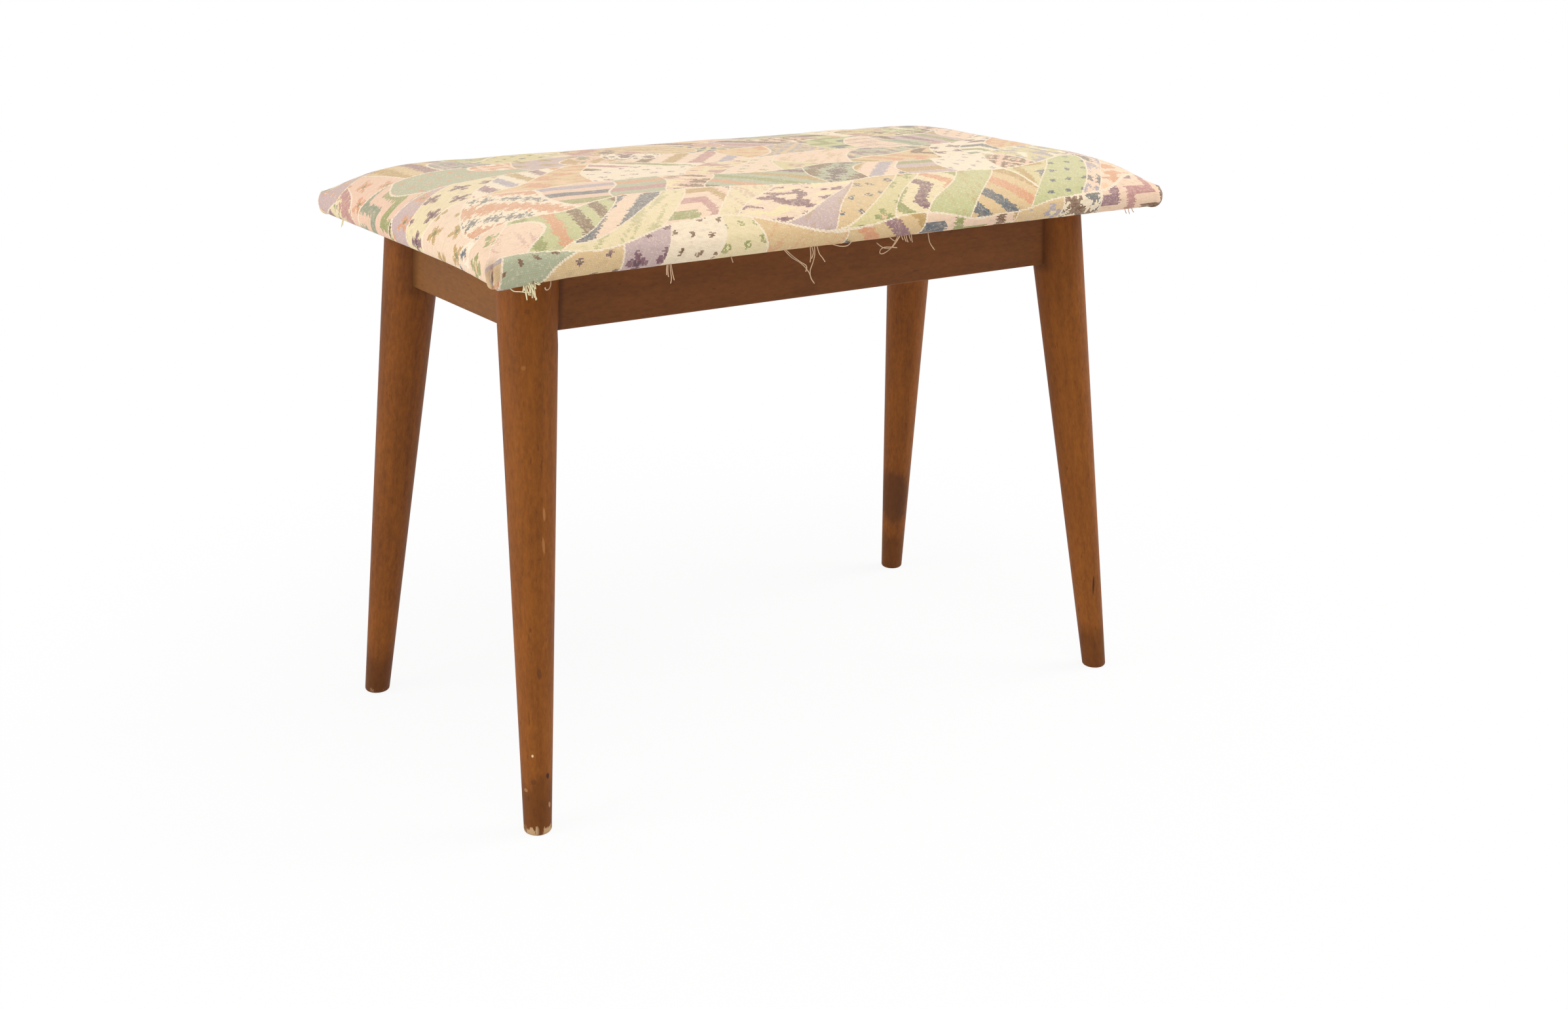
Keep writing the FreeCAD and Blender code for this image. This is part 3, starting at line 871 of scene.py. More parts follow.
def edge_sag(x, y):
    """How far the cover's lower edge hangs down at a place: a little everywhere, more at the near corner."""
    settings = bpy.context.scene.stool_cover
    wander = seat_noise(x, y, EDGE_WANDERS)
    from_corner_x = x + HALF_LENGTH
    from_corner_y = y + HALF_DEPTH
    near = math.hypot(from_corner_x, from_corner_y) / NEAR_DROOP_REACH
    far = math.hypot(from_corner_x / FAR_DROOP_STRETCH, from_corner_y) / FAR_DROOP_REACH
    corner = settings.corner_droop * math.exp(-near * near)
    return -MM * max(0.0, wander) - corner - settings.edge_droop * math.exp(-far)


def ring_height_on_side(ring):
    """A ring's height in the middle of a long side."""
    if ring.height is not None:
        return ring.height
    return EDGE_TOP + CROWN * crown_share(ring.inset - NOSE_INSET)


def measure_rings(rings):
    """Works out each ring's reach, spare cloth and outward direction from the section through a side."""
    section = [(-ring.inset, ring_height_on_side(ring)) for ring in rings]
    reach = 0.0
    join_reach = 0.0
    for index, ring in enumerate(rings):
        before = section[max(index - 1, 0)]
        after = section[min(index + 1, len(rings) - 1)]
        reach += math.dist(section[index], before)
        ring.reach = reach
        if ring.height is None:
            join_reach = reach
        else:
            ring.spare = reach - join_reach
        run = (after[0] - before[0], after[1] - before[1])
        size = math.hypot(*run)
        ring.normal = (-run[1] / size, run[0] / size)
    return rings


def cover_rings():
    """The cover's rings: crown, nose and hem."""
    rings = [Ring(inset * MM, None) for inset in CROWN_RING_INSETS]
    for (inset, height), sag in zip(NOSE_RINGS, NOSE_SAGS):
        rings.append(Ring(inset * MM, UNDERSIDE + height * MM, sag))
    for inset, sag in zip(HEM_RING_INSETS, HEM_SAGS):
        rings.append(Ring(inset * MM, UNDERSIDE, sag))
    measure_rings(rings)
    nose_spare = max(ring.spare for ring in rings if ring.inset <= NOSE_END)
    for ring in rings:
        if ring.inset > NOSE_END and ring.height is not None:
            ring.spare = nose_spare * max(0.0, 1.0 - (ring.inset - NOSE_END) / PLEAT_RUN_OUT)
    return rings


def pad_rings(inward):
    """The pad's rings: crown, nose, and the pocket that the board fills."""
    rings = [Ring(inset * MM, None) for inset in CROWN_RING_INSETS]
    for inset, height in NOSE_RINGS[:-1]:
        rings.append(Ring(inset * MM, UNDERSIDE + max(height * MM, PAD_LEAST_HEIGHT), 0.0, PAD_LIFT))
    board_inset = HALF_LENGTH - BOARD_HIGH[0]
    pocket = board_inset - inward
    rings.append(Ring(pocket, BOARD_LOW[2] + POCKET_GAP))
    rings.append(Ring(pocket, BOARD_HIGH[2] - POCKET_GAP))
    rings.append(Ring(pocket + POCKET_BEVEL, BOARD_HIGH[2]))
    return measure_rings(rings)


# Layout of the patches, in metres: how far noise bends it, and the courses' waves as height, rate, start
PATCH_BEND = 0.07
PATCH_BEND_SCALE = (8.0, 8.0, 1.0)
PATCH_BEND_DEPTHS = (0.3, 5.7)
COURSE_WAVES = ((0.008, 13, 0.7), (0.005, 31, 2.1))
# How the columns of a course vary: spread of their widths, slant, shift, and bow as height and rates
COLUMN_SPREAD = 0.75
COLUMN_SLANT = 0.085
COLUMN_SHIFT = 0.3
COLUMN_BOW = (0.007, 70, 2.0)
# A patch is divided by a line below the first share, by an arc below the second, and else not at all
LINE_SHARE = 0.4
ARC_SHARE = 0.88
LINE_SHIFT = 0.026
ARC_RADIUS = 0.030
ARC_SPREAD = 0.022
# Rows, columns and cells are numbered from here, above zero and off the whole numbers
FIRST_ROW = 40.5
FIRST_COLUMN = 60.5
FIRST_CELL = 50.5
# The numbers of threads and jags are moved off the whole numbers by this
HALF_CELL = 0.5
# Further numbers that keep one random draw apart from another
ROW_DRAW = (3.5, 1.25)
PATCH_DRAW = 7.75
DOT_DRAW = 2.25
FEATHER_DRAW = (4.5, 8.25)
JAG_DRAW = 3.25
YARN_DRAW = 6.5
# The same for a draw that differs on the two sides of a divided patch: step from side to side, and start
FILLING_DRAW = (5.25, 9.5)
TURN_DRAW = (3.5, 20.75)
INK_DRAW = (2.5, 33.25)


def side_draw(side, draw):
    """The further number of a random draw on one side of a divided patch."""
    step, start = draw
    return side * step + start


def patch_split(shade, local_x, local_y, width, height, draws):
    """Distance from the line or arc that divides a patch, below zero on one side. Undivided, it is 1."""
    kind, turn, size = draws
    angle = turn * math.pi
    line = local_x * shade.math("COSINE", angle) + local_y * angle.sine() + (size - 0.5) * LINE_SHIFT
    arc_x = local_x - ((turn > 0.5) - 0.5) * width
    arc_y = local_y - (((turn * 2).part() > 0.5) - 0.5) * height
    arc = (arc_x * arc_x + arc_y * arc_y).root() - (ARC_RADIUS + ARC_SPREAD * size)
    use_line = kind < LINE_SHARE
    use_arc = kind.between(LINE_SHARE, ARC_SHARE)
    return use_line * line + use_arc * arc + (1 - use_line - use_arc)


def tapestry_layout(shade, u, v, settings):
    """Divides the cloth into patches: a patch's three numbers, and the distance to the nearest outline."""
    height = settings.patch_height
    bends = []
    for depth in PATCH_BEND_DEPTHS:
        level = shade.noise(shade.vector(u, v, depth), PATCH_BEND_SCALE, detail=1.0)
        bends.append(PATCH_BEND * (level - 0.5))
    u = u + bends[0]
    v = v + bends[1]
    waves = [high * (u * rate + start).sine() for high, rate, start in COURSE_WAVES]
    course = (v + (waves[0] + waves[1])) / height
    row = course.floor() + FIRST_ROW
    up = course.part()
    row_a, row_b, row_c = shade.chance(row, *ROW_DRAW)
    width = settings.patch_width * (1.0 + COLUMN_SPREAD * row_c)
    slant = (up - 0.5) * (row_b - 0.5) * COLUMN_SLANT
    bow_height, bow_rate, row_rate = COLUMN_BOW
    bow = bow_height * (v * bow_rate + row * row_rate).sine()
    place = (u + slant + bow + row_a * COLUMN_SHIFT) / width
    column = place.floor() + FIRST_COLUMN
    across = place.part()
    draws = shade.chance(row, column, PATCH_DRAW)
    split = patch_split(shade, (across - 0.5) * width, (up - 0.5) * height, width, height, draws)
    gap_row = up.least(1 - up) * height
    gap_column = across.least(1 - across) * width
    gap = gap_row.least(gap_column).least(abs(split))
    return (row, column, split > 0), gap


def turned(shade, u, v, share):
    """Cloth places turned by none, one, two or three eighths of a turn."""
    angle = (share * 4).floor() * (math.pi / 4)
    cosine = shade.math("COSINE", angle)
    sine = angle.sine()
    return u * cosine + v * sine, v * cosine - u * sine


def odd(number):
    """Whether a whole number is odd."""
    return (number * 0.5).part() > 0.25


# Each filling says how far a place is inked, how far it is accented, and the number of its strip


def stripe_filling(shade, s, t):
    """Stripes of two colours in turn."""
    width = 9.5 * MM
    strip = (s / width).floor()
    return odd(strip), 0.0, strip


def zigzag_filling(shade, s, t):
    """Stripes that run back and forth."""
    width = 11.5 * MM
    swing = 16 * MM
    strip = ((s + t.zigzag(swing)) / width).floor()
    return odd(strip), 0.0, strip


def dot_filling(shade, s, t):
    """Ringed dots of uneven size, a little out of line."""
    pitch = 14 * MM
    stray = 0.35
    least_radius = 0.13
    spread = 0.1
    core = 0.4
    x = s / pitch
    y = t / pitch
    shift_x, shift_y, size = shade.chance(x.floor() + FIRST_CELL, y.floor() + FIRST_CELL, DOT_DRAW)
    off_x = x.part() - 0.5 + (shift_x - 0.5) * stray
    off_y = y.part() - 0.5 + (shift_y - 0.5) * stray
    off = (off_x * off_x + off_y * off_y).root()
    radius = least_radius + size * spread
    return off < radius, off < radius * core, 0.0


def square_filling(shade, s, t):
    """Square frames with a square inside."""
    pitch = 20 * MM
    rim = (0.22, 0.40)
    core = 0.12
    off = abs((s / pitch).part() - 0.5).most(abs((t / pitch).part() - 0.5))
    return off.between(*rim), off < core, 0.0


def fleck_filling(shade, s, t):
    """Small ovals, set in between from row to row."""
    pitch_x = 16 * MM
    pitch_y = 11 * MM
    half_x = 0.17
    half_y = 0.15
    y = t / pitch_y
    x = s / pitch_x + (y.floor() * 0.5).part()
    off_x = (x.part() - 0.5) / half_x
    off_y = (y.part() - 0.5) / half_y
    off = off_x * off_x + off_y * off_y
    return off < 1.0, 0.0, 0.0


def feather_filling(shade, s, t):
    """Bands with jagged edges."""
    thread = 1.8 * MM
    width = 18 * MM
    ragged = 0.5
    ink_from = 0.62
    accent_to = 0.2
    jag = shade.chance((t / thread).floor() + FIRST_CELL, *FEATHER_DRAW)[0]
    share = s.zigzag(width) / width + (jag - 0.5) * ragged
    return share > ink_from, share < accent_to, 0.0


def sprig_filling(shade, s, t):
    """Crosses of four petals, set in between from row to row."""
    pitch = 22 * MM
    core = 0.09
    waist = 0.08
    petal = 0.26
    tiny = 0.0001
    y = t / pitch
    x = s / pitch + (y.floor() * 0.5).part()
    off_x = x.part() - 0.5
    off_y = y.part() - 0.5
    square = off_x * off_x + off_y * off_y + tiny
    petals = abs(off_x * off_x - off_y * off_y) / square
    off = square.root()
    return off < waist + petal * petals, off < core, 0.0


def blot_filling(shade, s, t):
    """Blots of two colours, longer across than along."""
    scale = (52.0, 110.0, 1.0)
    ink_from = 0.54
    accent_to = 0.42
    level = shade.noise(shade.vector(s, t), scale, detail=3.0)
    return level > ink_from, level < accent_to, 0.0


def plain_filling(shade, s, t):
    """Plain ground with a faint streak."""
    scale = (30.0, 240.0, 1.0)
    streak_from = 0.56
    strength = 0.5
    level = shade.noise(shade.vector(s, t), scale)
    return (level > streak_from) * strength, 0.0, 0.0


FILLINGS = (
    stripe_filling, plain_filling, dot_filling, zigzag_filling, blot_filling, fleck_filling, square_filling,
    zigzag_filling, feather_filling, plain_filling, sprig_filling, stripe_filling, blot_filling,
)

GROUND_COLOURS = (
    (246, 212, 182), (222, 206, 150), (250, 230, 200), (200, 198, 142), (240, 200, 172), (240, 220, 174),
    (204, 178, 172), (182, 184, 152), (226, 194, 144), (246, 216, 186),
)
INK_COLOURS = (
    (134, 96, 104), (158, 160, 100), (104, 110, 116), (222, 158, 118), (132, 100, 76), (150, 156, 128),
    (196, 142, 136), (194, 158, 98), (156, 118, 124), (178, 166, 172),
)
ACCENT_COLOURS = (
    (108, 78, 86), (252, 240, 214), (138, 138, 94), (244, 198, 158), (98, 102, 106), (246, 228, 172),
)


# Strength of the ink and of the accent, and the heathering of the ink
INK_STRENGTH = 0.92
ACCENT_STRENGTH = 0.85
HEATHER = 0.9
HEATHER_SCALE = (160.0, 420.0, 1.0)
# Jags of the fillings' outlines, in metres: their length along a weft thread, and how far they shift
JAG_LENGTH = 11 * MM
JAG_SHIFT = 3.4 * MM
# How the draw of a patch's turn is moved from its other draws, and how a strip's number moves its ink's
TURN_ROW_SHIFT = 0.25
STRIP_ROW_SHIFT = 0.37
STRIP_COLUMN_SHIFT = 0.13


def screen_colours(colours):
    """Linear colours from colours given as they look on screen."""
    return [srgb(*colour) for colour in colours]


def tapestry_colours(shade, u, v, settings):
    """Colour of the woven patches, how far a place is inked, and the distance to the nearest outline."""
    (row, column, side), gap = tapestry_layout(shade, u, v, settings)
    filling_pick, ground_pick, accent_pick = shade.chance(row, column, side_draw(side, FILLING_DRAW))
    turn_pick = shade.chance(row + TURN_ROW_SHIFT, column, side_draw(side, TURN_DRAW))[0]
    weft = (v / settings.pick).floor() + HALF_CELL
    jag = shade.chance(weft, (u / JAG_LENGTH).floor() + HALF_CELL, JAG_DRAW)[0]
    s, t = turned(shade, u + (jag - 0.5) * JAG_SHIFT, v, turn_pick)
    number = (filling_pick * len(FILLINGS)).floor()
    ink = 0.0
    accent = 0.0
    strip = 0.0
    for index, filling in enumerate(FILLINGS):
        chosen = number.between(index - 0.5, index + 0.5)
        filling_ink, filling_accent, filling_strip = filling(shade, s, t)
        ink = ink + chosen * filling_ink
        accent = accent + chosen * filling_accent
        strip = strip + chosen * filling_strip
    ink_row = row + strip * STRIP_ROW_SHIFT
    ink_column = column + strip * STRIP_COLUMN_SHIFT
    ink_pick = shade.chance(ink_row, ink_column, side_draw(side, INK_DRAW))[0]
    colour = shade.palette(ground_pick, screen_colours(GROUND_COLOURS))
    heather = shade.noise(shade.vector(u, v), HEATHER_SCALE)
    ink = (ink * INK_STRENGTH + (heather - 0.5) * HEATHER).least(1.0).most(0.0)
    colour = shade.mix(ink, colour, shade.palette(ink_pick, screen_colours(INK_COLOURS)))
    accents = shade.palette(accent_pick, screen_colours(ACCENT_COLOURS))
    colour = shade.mix(accent * ACCENT_STRENGTH, colour, accents)
    return colour, ink, gap


# Width of a warp thread beside a weft thread
WARP_SHARE = 0.8
# A stitch of the outlines: its length in metres, and the share of it that is at full strength
STITCH = 3.2 * MM
STITCH_SHARE = 0.7
# The bleached top: where it starts and ends in from the edge, in metres, and the scale of its patches
BLEACH_REACH = (-4 * MM, 30 * MM)
BLEACH_SCALE = (14.0, 14.0, 1.0)
# The draw above which a bit of yarn is paler, and by how much
PALE_YARN_LIMIT = 0.86
PALE_YARN = 0.25
# Painted shadow in the crease of the near corner: its middle, width and height in millimetres, colour, edge
# and strength
CREASE_SHADE_PLACE = (-283.3, -142.2, 384.0)
CREASE_SHADE_SIZE = (1.3, 4.6)
CREASE_SHADE_COLOUR = (92, 62, 44)
CREASE_SHADE_EDGE = (0.5, 1.1)
CREASE_SHADE_STRENGTH = 0.75
# A darker, brownish patch round that crease
DARK_PATCH_PLACE = (-283.0, -141.0, 387.0)
DARK_PATCH_SIZE = (9.0, 11.0)
DARK_PATCH_COLOUR = (168, 134, 106)
DARK_PATCH_EDGE = (0.2, 1.1)


def corner_darkening(shade, colour, patchy):
    """A darker patch round the crease of the near corner, and the crease's painted shadow."""
    dark_patch = 1 - shade.smooth(shade.spot_distance(DARK_PATCH_PLACE, *DARK_PATCH_SIZE), *DARK_PATCH_EDGE)
    colour = shade.mix(dark_patch * (0.35 + 0.4 * patchy), colour, srgb(*DARK_PATCH_COLOUR))
    crease_shade = 1 - shade.smooth(shade.spot_distance(CREASE_SHADE_PLACE, *CREASE_SHADE_SIZE), *CREASE_SHADE_EDGE)
    return shade.mix(crease_shade * CREASE_SHADE_STRENGTH, colour, srgb(*CREASE_SHADE_COLOUR))


def tapestry_material(settings, flat_half_x, flat_half_y):
    """Patchwork tapestry: woven patches with small fillings, pale outlines, weft ribs with painted shade, a
    bleached top, and at the near corner a darker patch and a painted crease shadow.
    """
    shade = Finish("tapestry")
    place = shade.node("ShaderNodeUVMap", {"uv_map": "cloth"}).outputs[0]
    raw_u, raw_v = shade.parts(place)[:2]
    pick = settings.pick
    warp = pick * WARP_SHARE
    u = raw_u.steps(warp)
    v = raw_v.steps(pick)
    colour, ink, gap = tapestry_colours(shade, u, v, settings)
    stitch = ((raw_u + raw_v) / STITCH).part() < STITCH_SHARE
    outline = (gap < settings.outline / 2) * (0.6 + 0.4 * stitch)
    colour = shade.mix(outline, colour, settings.pale)
    yarn = shade.chance((u / warp).floor() + HALF_CELL, (v / pick).floor() + HALF_CELL, YARN_DRAW)
    edge = (flat_half_x - abs(raw_u)).least(flat_half_y - abs(raw_v))
    patchy = shade.noise(place, BLEACH_SCALE, detail=3.0)
    bleached = shade.smooth(edge, *BLEACH_REACH) * settings.fade * (0.7 + 0.6 * patchy)
    colour = shade.mix(bleached + (yarn[0] > PALE_YARN_LIMIT) * PALE_YARN, colour, settings.pale)
    # The ribs and knots of the weave darken the colour in turn: painted shade of the woven relief, beside
    # the yarns' own tone
    rib = (raw_v * (2 * math.pi / pick)).sine()
    knot = (raw_u * (math.pi / warp) + (v / pick) * math.pi).sine()
    tone_and_painted_shade = 0.94 + 0.035 * rib + 0.02 * knot + 0.06 * (yarn[1] - 0.5)
    colour = shade.mix(1.0, colour, shade.vector(tone_and_painted_shade, tone_and_painted_shade, tone_and_painted_shade), "MULTIPLY")
    # At the near corner: a darker patch, and the painted shadow of the crease
    colour = corner_darkening(shade, colour, patchy)
    relief = rib * 0.5 + knot * 0.3 + outline * 1.4 + ink * 0.5
    sockets = {"Base Color": colour, "Roughness": 0.86, "Sheen Weight": 0.08, "Sheen Roughness": 0.5}
    return shade.finish(sockets, relief, bump=0.55, distance=0.16 * MM)


def even(scale):
    """A noise scale that is the same in all directions."""
    return (scale, scale, scale)


def foam_material(settings):
    """Padding: pale, open-pored."""
    shade = Finish("padding")
    place = shade.object_place()
    pores = shade.noise(place, even(700.0), detail=3.0)
    cloud = shade.noise(place, even(18.0))
    open_share = shade.smooth(pores, 0.35, 0.6) * (0.75 + 0.25 * cloud)
    colour = shade.mix(open_share, darkened(settings.pad, 0.72), settings.pad)
    return shade.finish({"Base Color": colour, "Roughness": 0.95}, pores, bump=0.6, distance=0.5 * MM)


# Noise in wood: scales across and along the grain, detail and roughness
WOOD_NOISE = {
    "drift": (16.0, 2.2, 2.0, 0.5),
    "streak": (190.0, 9.0, 3.0, 0.6),
    "fibre": (800.0, 40.0, 2.0, 0.5),
    "cloud": (42.0, 15.0, 3.0, 0.6),
    "fleck": (420.0, 150.0, 3.0, 0.7),
    "pore": (620.0, 120.0, 1.0, 0.5),
}
# How much the growth rings and the noise lighten wood, and what is taken off again
WOOD_SHARES = {"band": 0.12, "streak": 0.4, "fibre": 0.14, "cloud": 0.75, "fleck": 1.0}
WOOD_MIDDLE = 0.72
# How far the growth rings drift, and their widths on legs, rails, raw wood and plywood, in metres
RING_DRIFT = 30 * MM
LEG_RING_WIDTH = 8.5 * MM
RAIL_RING_WIDTH = 12 * MM
RAW_RING_WIDTH = 7 * MM
PLY_RING_WIDTH = 19 * MM
# Where a pore starts and is deepest in its noise, and how dark it is
PORE_EDGE = (0.66, 0.78)
PORE_STRENGTH = 0.4
# Gloss of the stained wood
WOOD_SPECULAR = 0.18


def wood_tones(shade, place, light, dark, ring_width, seed, tone_and_painted_shade=0.0):
    """Colour, roughness and relief of wood with its grain along the third axis. The tone number lightens it;
    on the legs it is painted light and shade.
    """
    layers = {}
    for name, (across, along, detail, roughness) in WOOD_NOISE.items():
        layers[name] = shade.noise(place, (across, across, along), detail, roughness)
    x, y = shade.parts(place)[:2]
    figure = (x * math.cos(seed) + y * math.sin(seed) + RING_DRIFT * layers["drift"]) / ring_width
    layers["band"] = abs(figure.part() - 0.5) * 2
    share = tone_and_painted_shade - WOOD_MIDDLE
    for name, weight in WOOD_SHARES.items():
        share = share + weight * layers[name]
    pore = shade.smooth(layers["pore"], *PORE_EDGE)
    colour = shade.mix(share, dark, light)
    colour = shade.mix(pore * PORE_STRENGTH, colour, darkened(dark, 0.5))
    rough = 0.46 + 0.12 * layers["cloud"] + 0.06 * layers["streak"]
    relief = 0.5 * layers["streak"] + 0.5 * layers["fibre"] - 0.8 * pore
    return colour, rough, relief


def leg_frame(sign_x, sign_y):
    """The middle of a leg's foot, and the turn that stands the leg's own axes along it."""
    foot = Vector((FRAME_MIDDLE + FOOT_X * sign_x, FOOT_Y * sign_y, 0.0))
    top = Vector((FRAME_MIDDLE + LEG_TOP_X * sign_x, LEG_TOP_Y * sign_y, FRAME_HEIGHT))
    return foot, (top - foot).to_track_quat("Z", "Y").to_euler()


# Painted shade where rails and legs meet: how far it reaches on a leg and on a rail, in metres
LEG_CORNER_SHADE_REACH = 10 * MM
LONG_RAIL_CORNER_SHADE_REACH = 4.5 * MM
SHORT_RAIL_CORNER_SHADE_REACH = 13 * MM
# How dark the painted shade is on a rail
RAIL_CORNER_SHADE = 0.6


def leg_corner_shade(shade, sign_x, sign_y):
    """How near a point of a leg lies to the corners that the leg makes with its two rails, from 0 to 1: the
    mask of the painted shade there.
    """
    x, y, z = shade.parts(shade.object_place())
    out_x = (x - FRAME_MIDDLE) * sign_x
    out_y = y * sign_y
    height = z / FRAME_HEIGHT
    behind_x = height * (LEG_TOP_X - FOOT_X) + FOOT_X - out_x
    behind_y = height * (LEG_TOP_Y - FOOT_Y) + FOOT_Y - out_y
    near_long = 1 - shade.smooth(out_y - RAIL_FACE_Y, 0.0, LEG_CORNER_SHADE_REACH)
    near_short = 1 - shade.smooth(out_x - RAIL_FACE_X, 0.0, LEG_CORNER_SHADE_REACH)
    near_long = near_long * shade.smooth(behind_x, 0.0, LEG_CORNER_SHADE_REACH)
    near_short = near_short * shade.smooth(behind_y, 0.0, LEG_CORNER_SHADE_REACH)
    above = shade.smooth(z, RAIL_BOTTOM - LEG_CORNER_SHADE_REACH, RAIL_BOTTOM)
    return near_long.most(near_short) * above


def rail_corner_shade(shade, legs, reach):
    """How near a point of a rail lies to the legs at its two ends, from 0 to 1: the mask of the painted
    shade there.
    """
    near = []
    for signs in legs:
        x, y, z = shade.parts(shade.local_place(*leg_frame(*signs)))
        radius = z * ((LEG_TOP_RADIUS - LEG_FOOT_RADIUS) / FRAME_HEIGHT) + LEG_FOOT_RADIUS
        near.append(1 - shade.smooth((x * x + y * y).root() - radius, 0.0, reach))
    return near[0].most(near[1])


# Marks of wear and other dark marks on the legs, and two painted highlights on the near leg: place in
# millimetres, width, height, colour and strength
LEG_MARKS_AND_HIGHLIGHTS = {
    "leg_front_left": (
        ((-256.8, -142.1, 41.6), 1.6, 2.4, (50, 30, 22), 0.9),
        ((-265.6, -138.4, 57.1), 0.9, 1.1, (236, 208, 164), 0.9),
        ((-257.0, -134.8, 113.5), 1.8, 4.6, (92, 52, 27), 0.55),
        ((-266.4, -140.7, 38.8), 2.2, 2.2, (78, 46, 27), 0.5),
        ((-270.3, -136.4, 32.1), 2.2, 1.4, (190, 146, 98), 0.5),
        ((-249.2, -110.7, 316.1), 1.8, 1.8, (178, 118, 64), 0.4),
        ((-244.5, -108.5, 351.9), 2.0, 2.0, (84, 46, 25), 0.35),
        ((-256.7, -143.6, 20.6), 1.3, 2.6, (206, 168, 122), 0.5),
        # Two pale streaks: painted highlights
        ((-244.4, -124.1, 219.5), 1.2, 6.0, (200, 142, 84), 0.4),
        ((-246.6, -126.6, 199.5), 1.2, 8.0, (200, 142, 84), 0.35),
    ),
    "leg_front_right": (
        ((244.4, -139.0, 71.0), 1.0, 14.0, (62, 35, 20), 0.95),
    ),
    "leg_back_left": (),
    "leg_back_right": (
        ((238.4, 119.8, 75.0), 17.0, 33.0, (64, 38, 22), 0.6),
    ),
}
# For each leg: how much lighter it is, painted light and shade that darkens the rear legs most; how much of
# its rim is worn; and how dark the painted shade in its corners is
LEG_LOOKS = {
    "leg_front_left": (-0.04, 0.6, 0.1),
    "leg_front_right": (0.02, 0.25, 0.55),
    "leg_back_left": (-0.18, -0.04, 0.5),
    "leg_back_right": (-0.08, 0.1, 0.4),
}
# The dark band at a foot: noise scale, how ragged it is in metres, where it fades, and its strength
BAND_SCALE = (95.0, 95.0, 55.0)
BAND_RAGGED = 30 * MM
BAND_FADE = 0.55
BAND_STRENGTH = 0.5
# The worn rim of a foot: scales of its chips and of where they are, height and edge in metres
CHIP_SCALE = (420.0, 420.0, 130.0)
CHIP_PLACE_SCALE = (60.0, 60.0, 8.0)
RIM_HEIGHT = 4.4 * MM
RIM_RAGGED = 20 * MM
RIM_EDGE = 1.2 * MM
# Strength of the worn rim, and how much rougher it is
RIM_STRENGTH = 0.8
RIM_ROUGHNESS = 0.25
# Noise above which a rim is chipped, how far wear lowers it, and the width of a chip's edge
CHIP_LEAST = 0.66
CHIP_WEAR = 0.4
CHIP_EDGE = 0.06
# How ragged a mark of wear is, and where it starts to fade and ends
MARK_RAGGED = 0.7
MARK_EDGE = (0.6, 1.1)
# How far each leg's and each rail's grain is moved from the last one's, in metres
LEG_STEP = (0.37, 0.61, 1.3)
RAIL_STEP = (0.53, 0.29, 1.0)


def worn_rim(shade, shifted, height, chips, worn):
    """How far the stain is worn off at the rim of a foot."""
    least = CHIP_LEAST - CHIP_WEAR * worn
    chosen = shade.smooth(shade.noise(shifted, CHIP_PLACE_SCALE), least, least + CHIP_EDGE)
    return shade.smooth((chips - 0.5) * RIM_RAGGED + RIM_HEIGHT - height, 0.0, RIM_EDGE) * chosen


def leg_material(name, signs, seed, settings):
    """Stained, turned leg: grain along it, darker foot band, worn rim, its own marks, painted highlights,
    and painted shade in its tone and at its rails.
    """
    shade = Finish(name + "_stain")
    place = shade.local_place(*leg_frame(*signs))
    height = shade.parts(place)[2]
    shifted = shade.moved(place, [seed * step for step in LEG_STEP])
    # The leg's tone is painted light and shade for where it stands in the light
    tone_and_painted_shade, worn, corner_shade = LEG_LOOKS[name]
    stains = (settings.leg_light, settings.leg_dark)
    colour, rough, relief = wood_tones(shade, shifted, *stains, LEG_RING_WIDTH, seed, tone_and_painted_shade)
    foot_band_and_shade_colour = darkened(settings.leg_dark, 0.5)
    uneven = (shade.noise(shifted, BAND_SCALE, detail=3.0) - 0.5) * BAND_RAGGED
    band = 1 - shade.smooth(height + uneven, settings.foot_band * BAND_FADE, settings.foot_band)
    colour = shade.mix(band * BAND_STRENGTH, colour, foot_band_and_shade_colour)
    # Painted shade in the corners where the leg meets its rails
    colour = shade.mix(leg_corner_shade(shade, *signs) * corner_shade, colour, foot_band_and_shade_colour)
    chips = shade.noise(shifted, CHIP_SCALE, detail=3.0, roughness=0.65)
    rim = worn_rim(shade, shifted, height, chips, worn)
    colour = shade.mix(rim * RIM_STRENGTH, colour, settings.worn)
    # The marks, and on the near leg two painted highlights
    for spot, wide, high, tint, strength in LEG_MARKS_AND_HIGHLIGHTS[name]:
        ragged = shade.spot_distance(spot, wide, high) + (chips - 0.5) * MARK_RAGGED
        mark = 1 - shade.smooth(ragged, *MARK_EDGE)
        colour = shade.mix(mark * strength, colour, srgb(*tint))
    rough = rough + rim * RIM_ROUGHNESS
    sockets = {"Base Color": colour, "Roughness": rough, "Specular IOR Level": WOOD_SPECULAR}
    return shade.finish(sockets, relief, bump=0.35, distance=0.12 * MM)


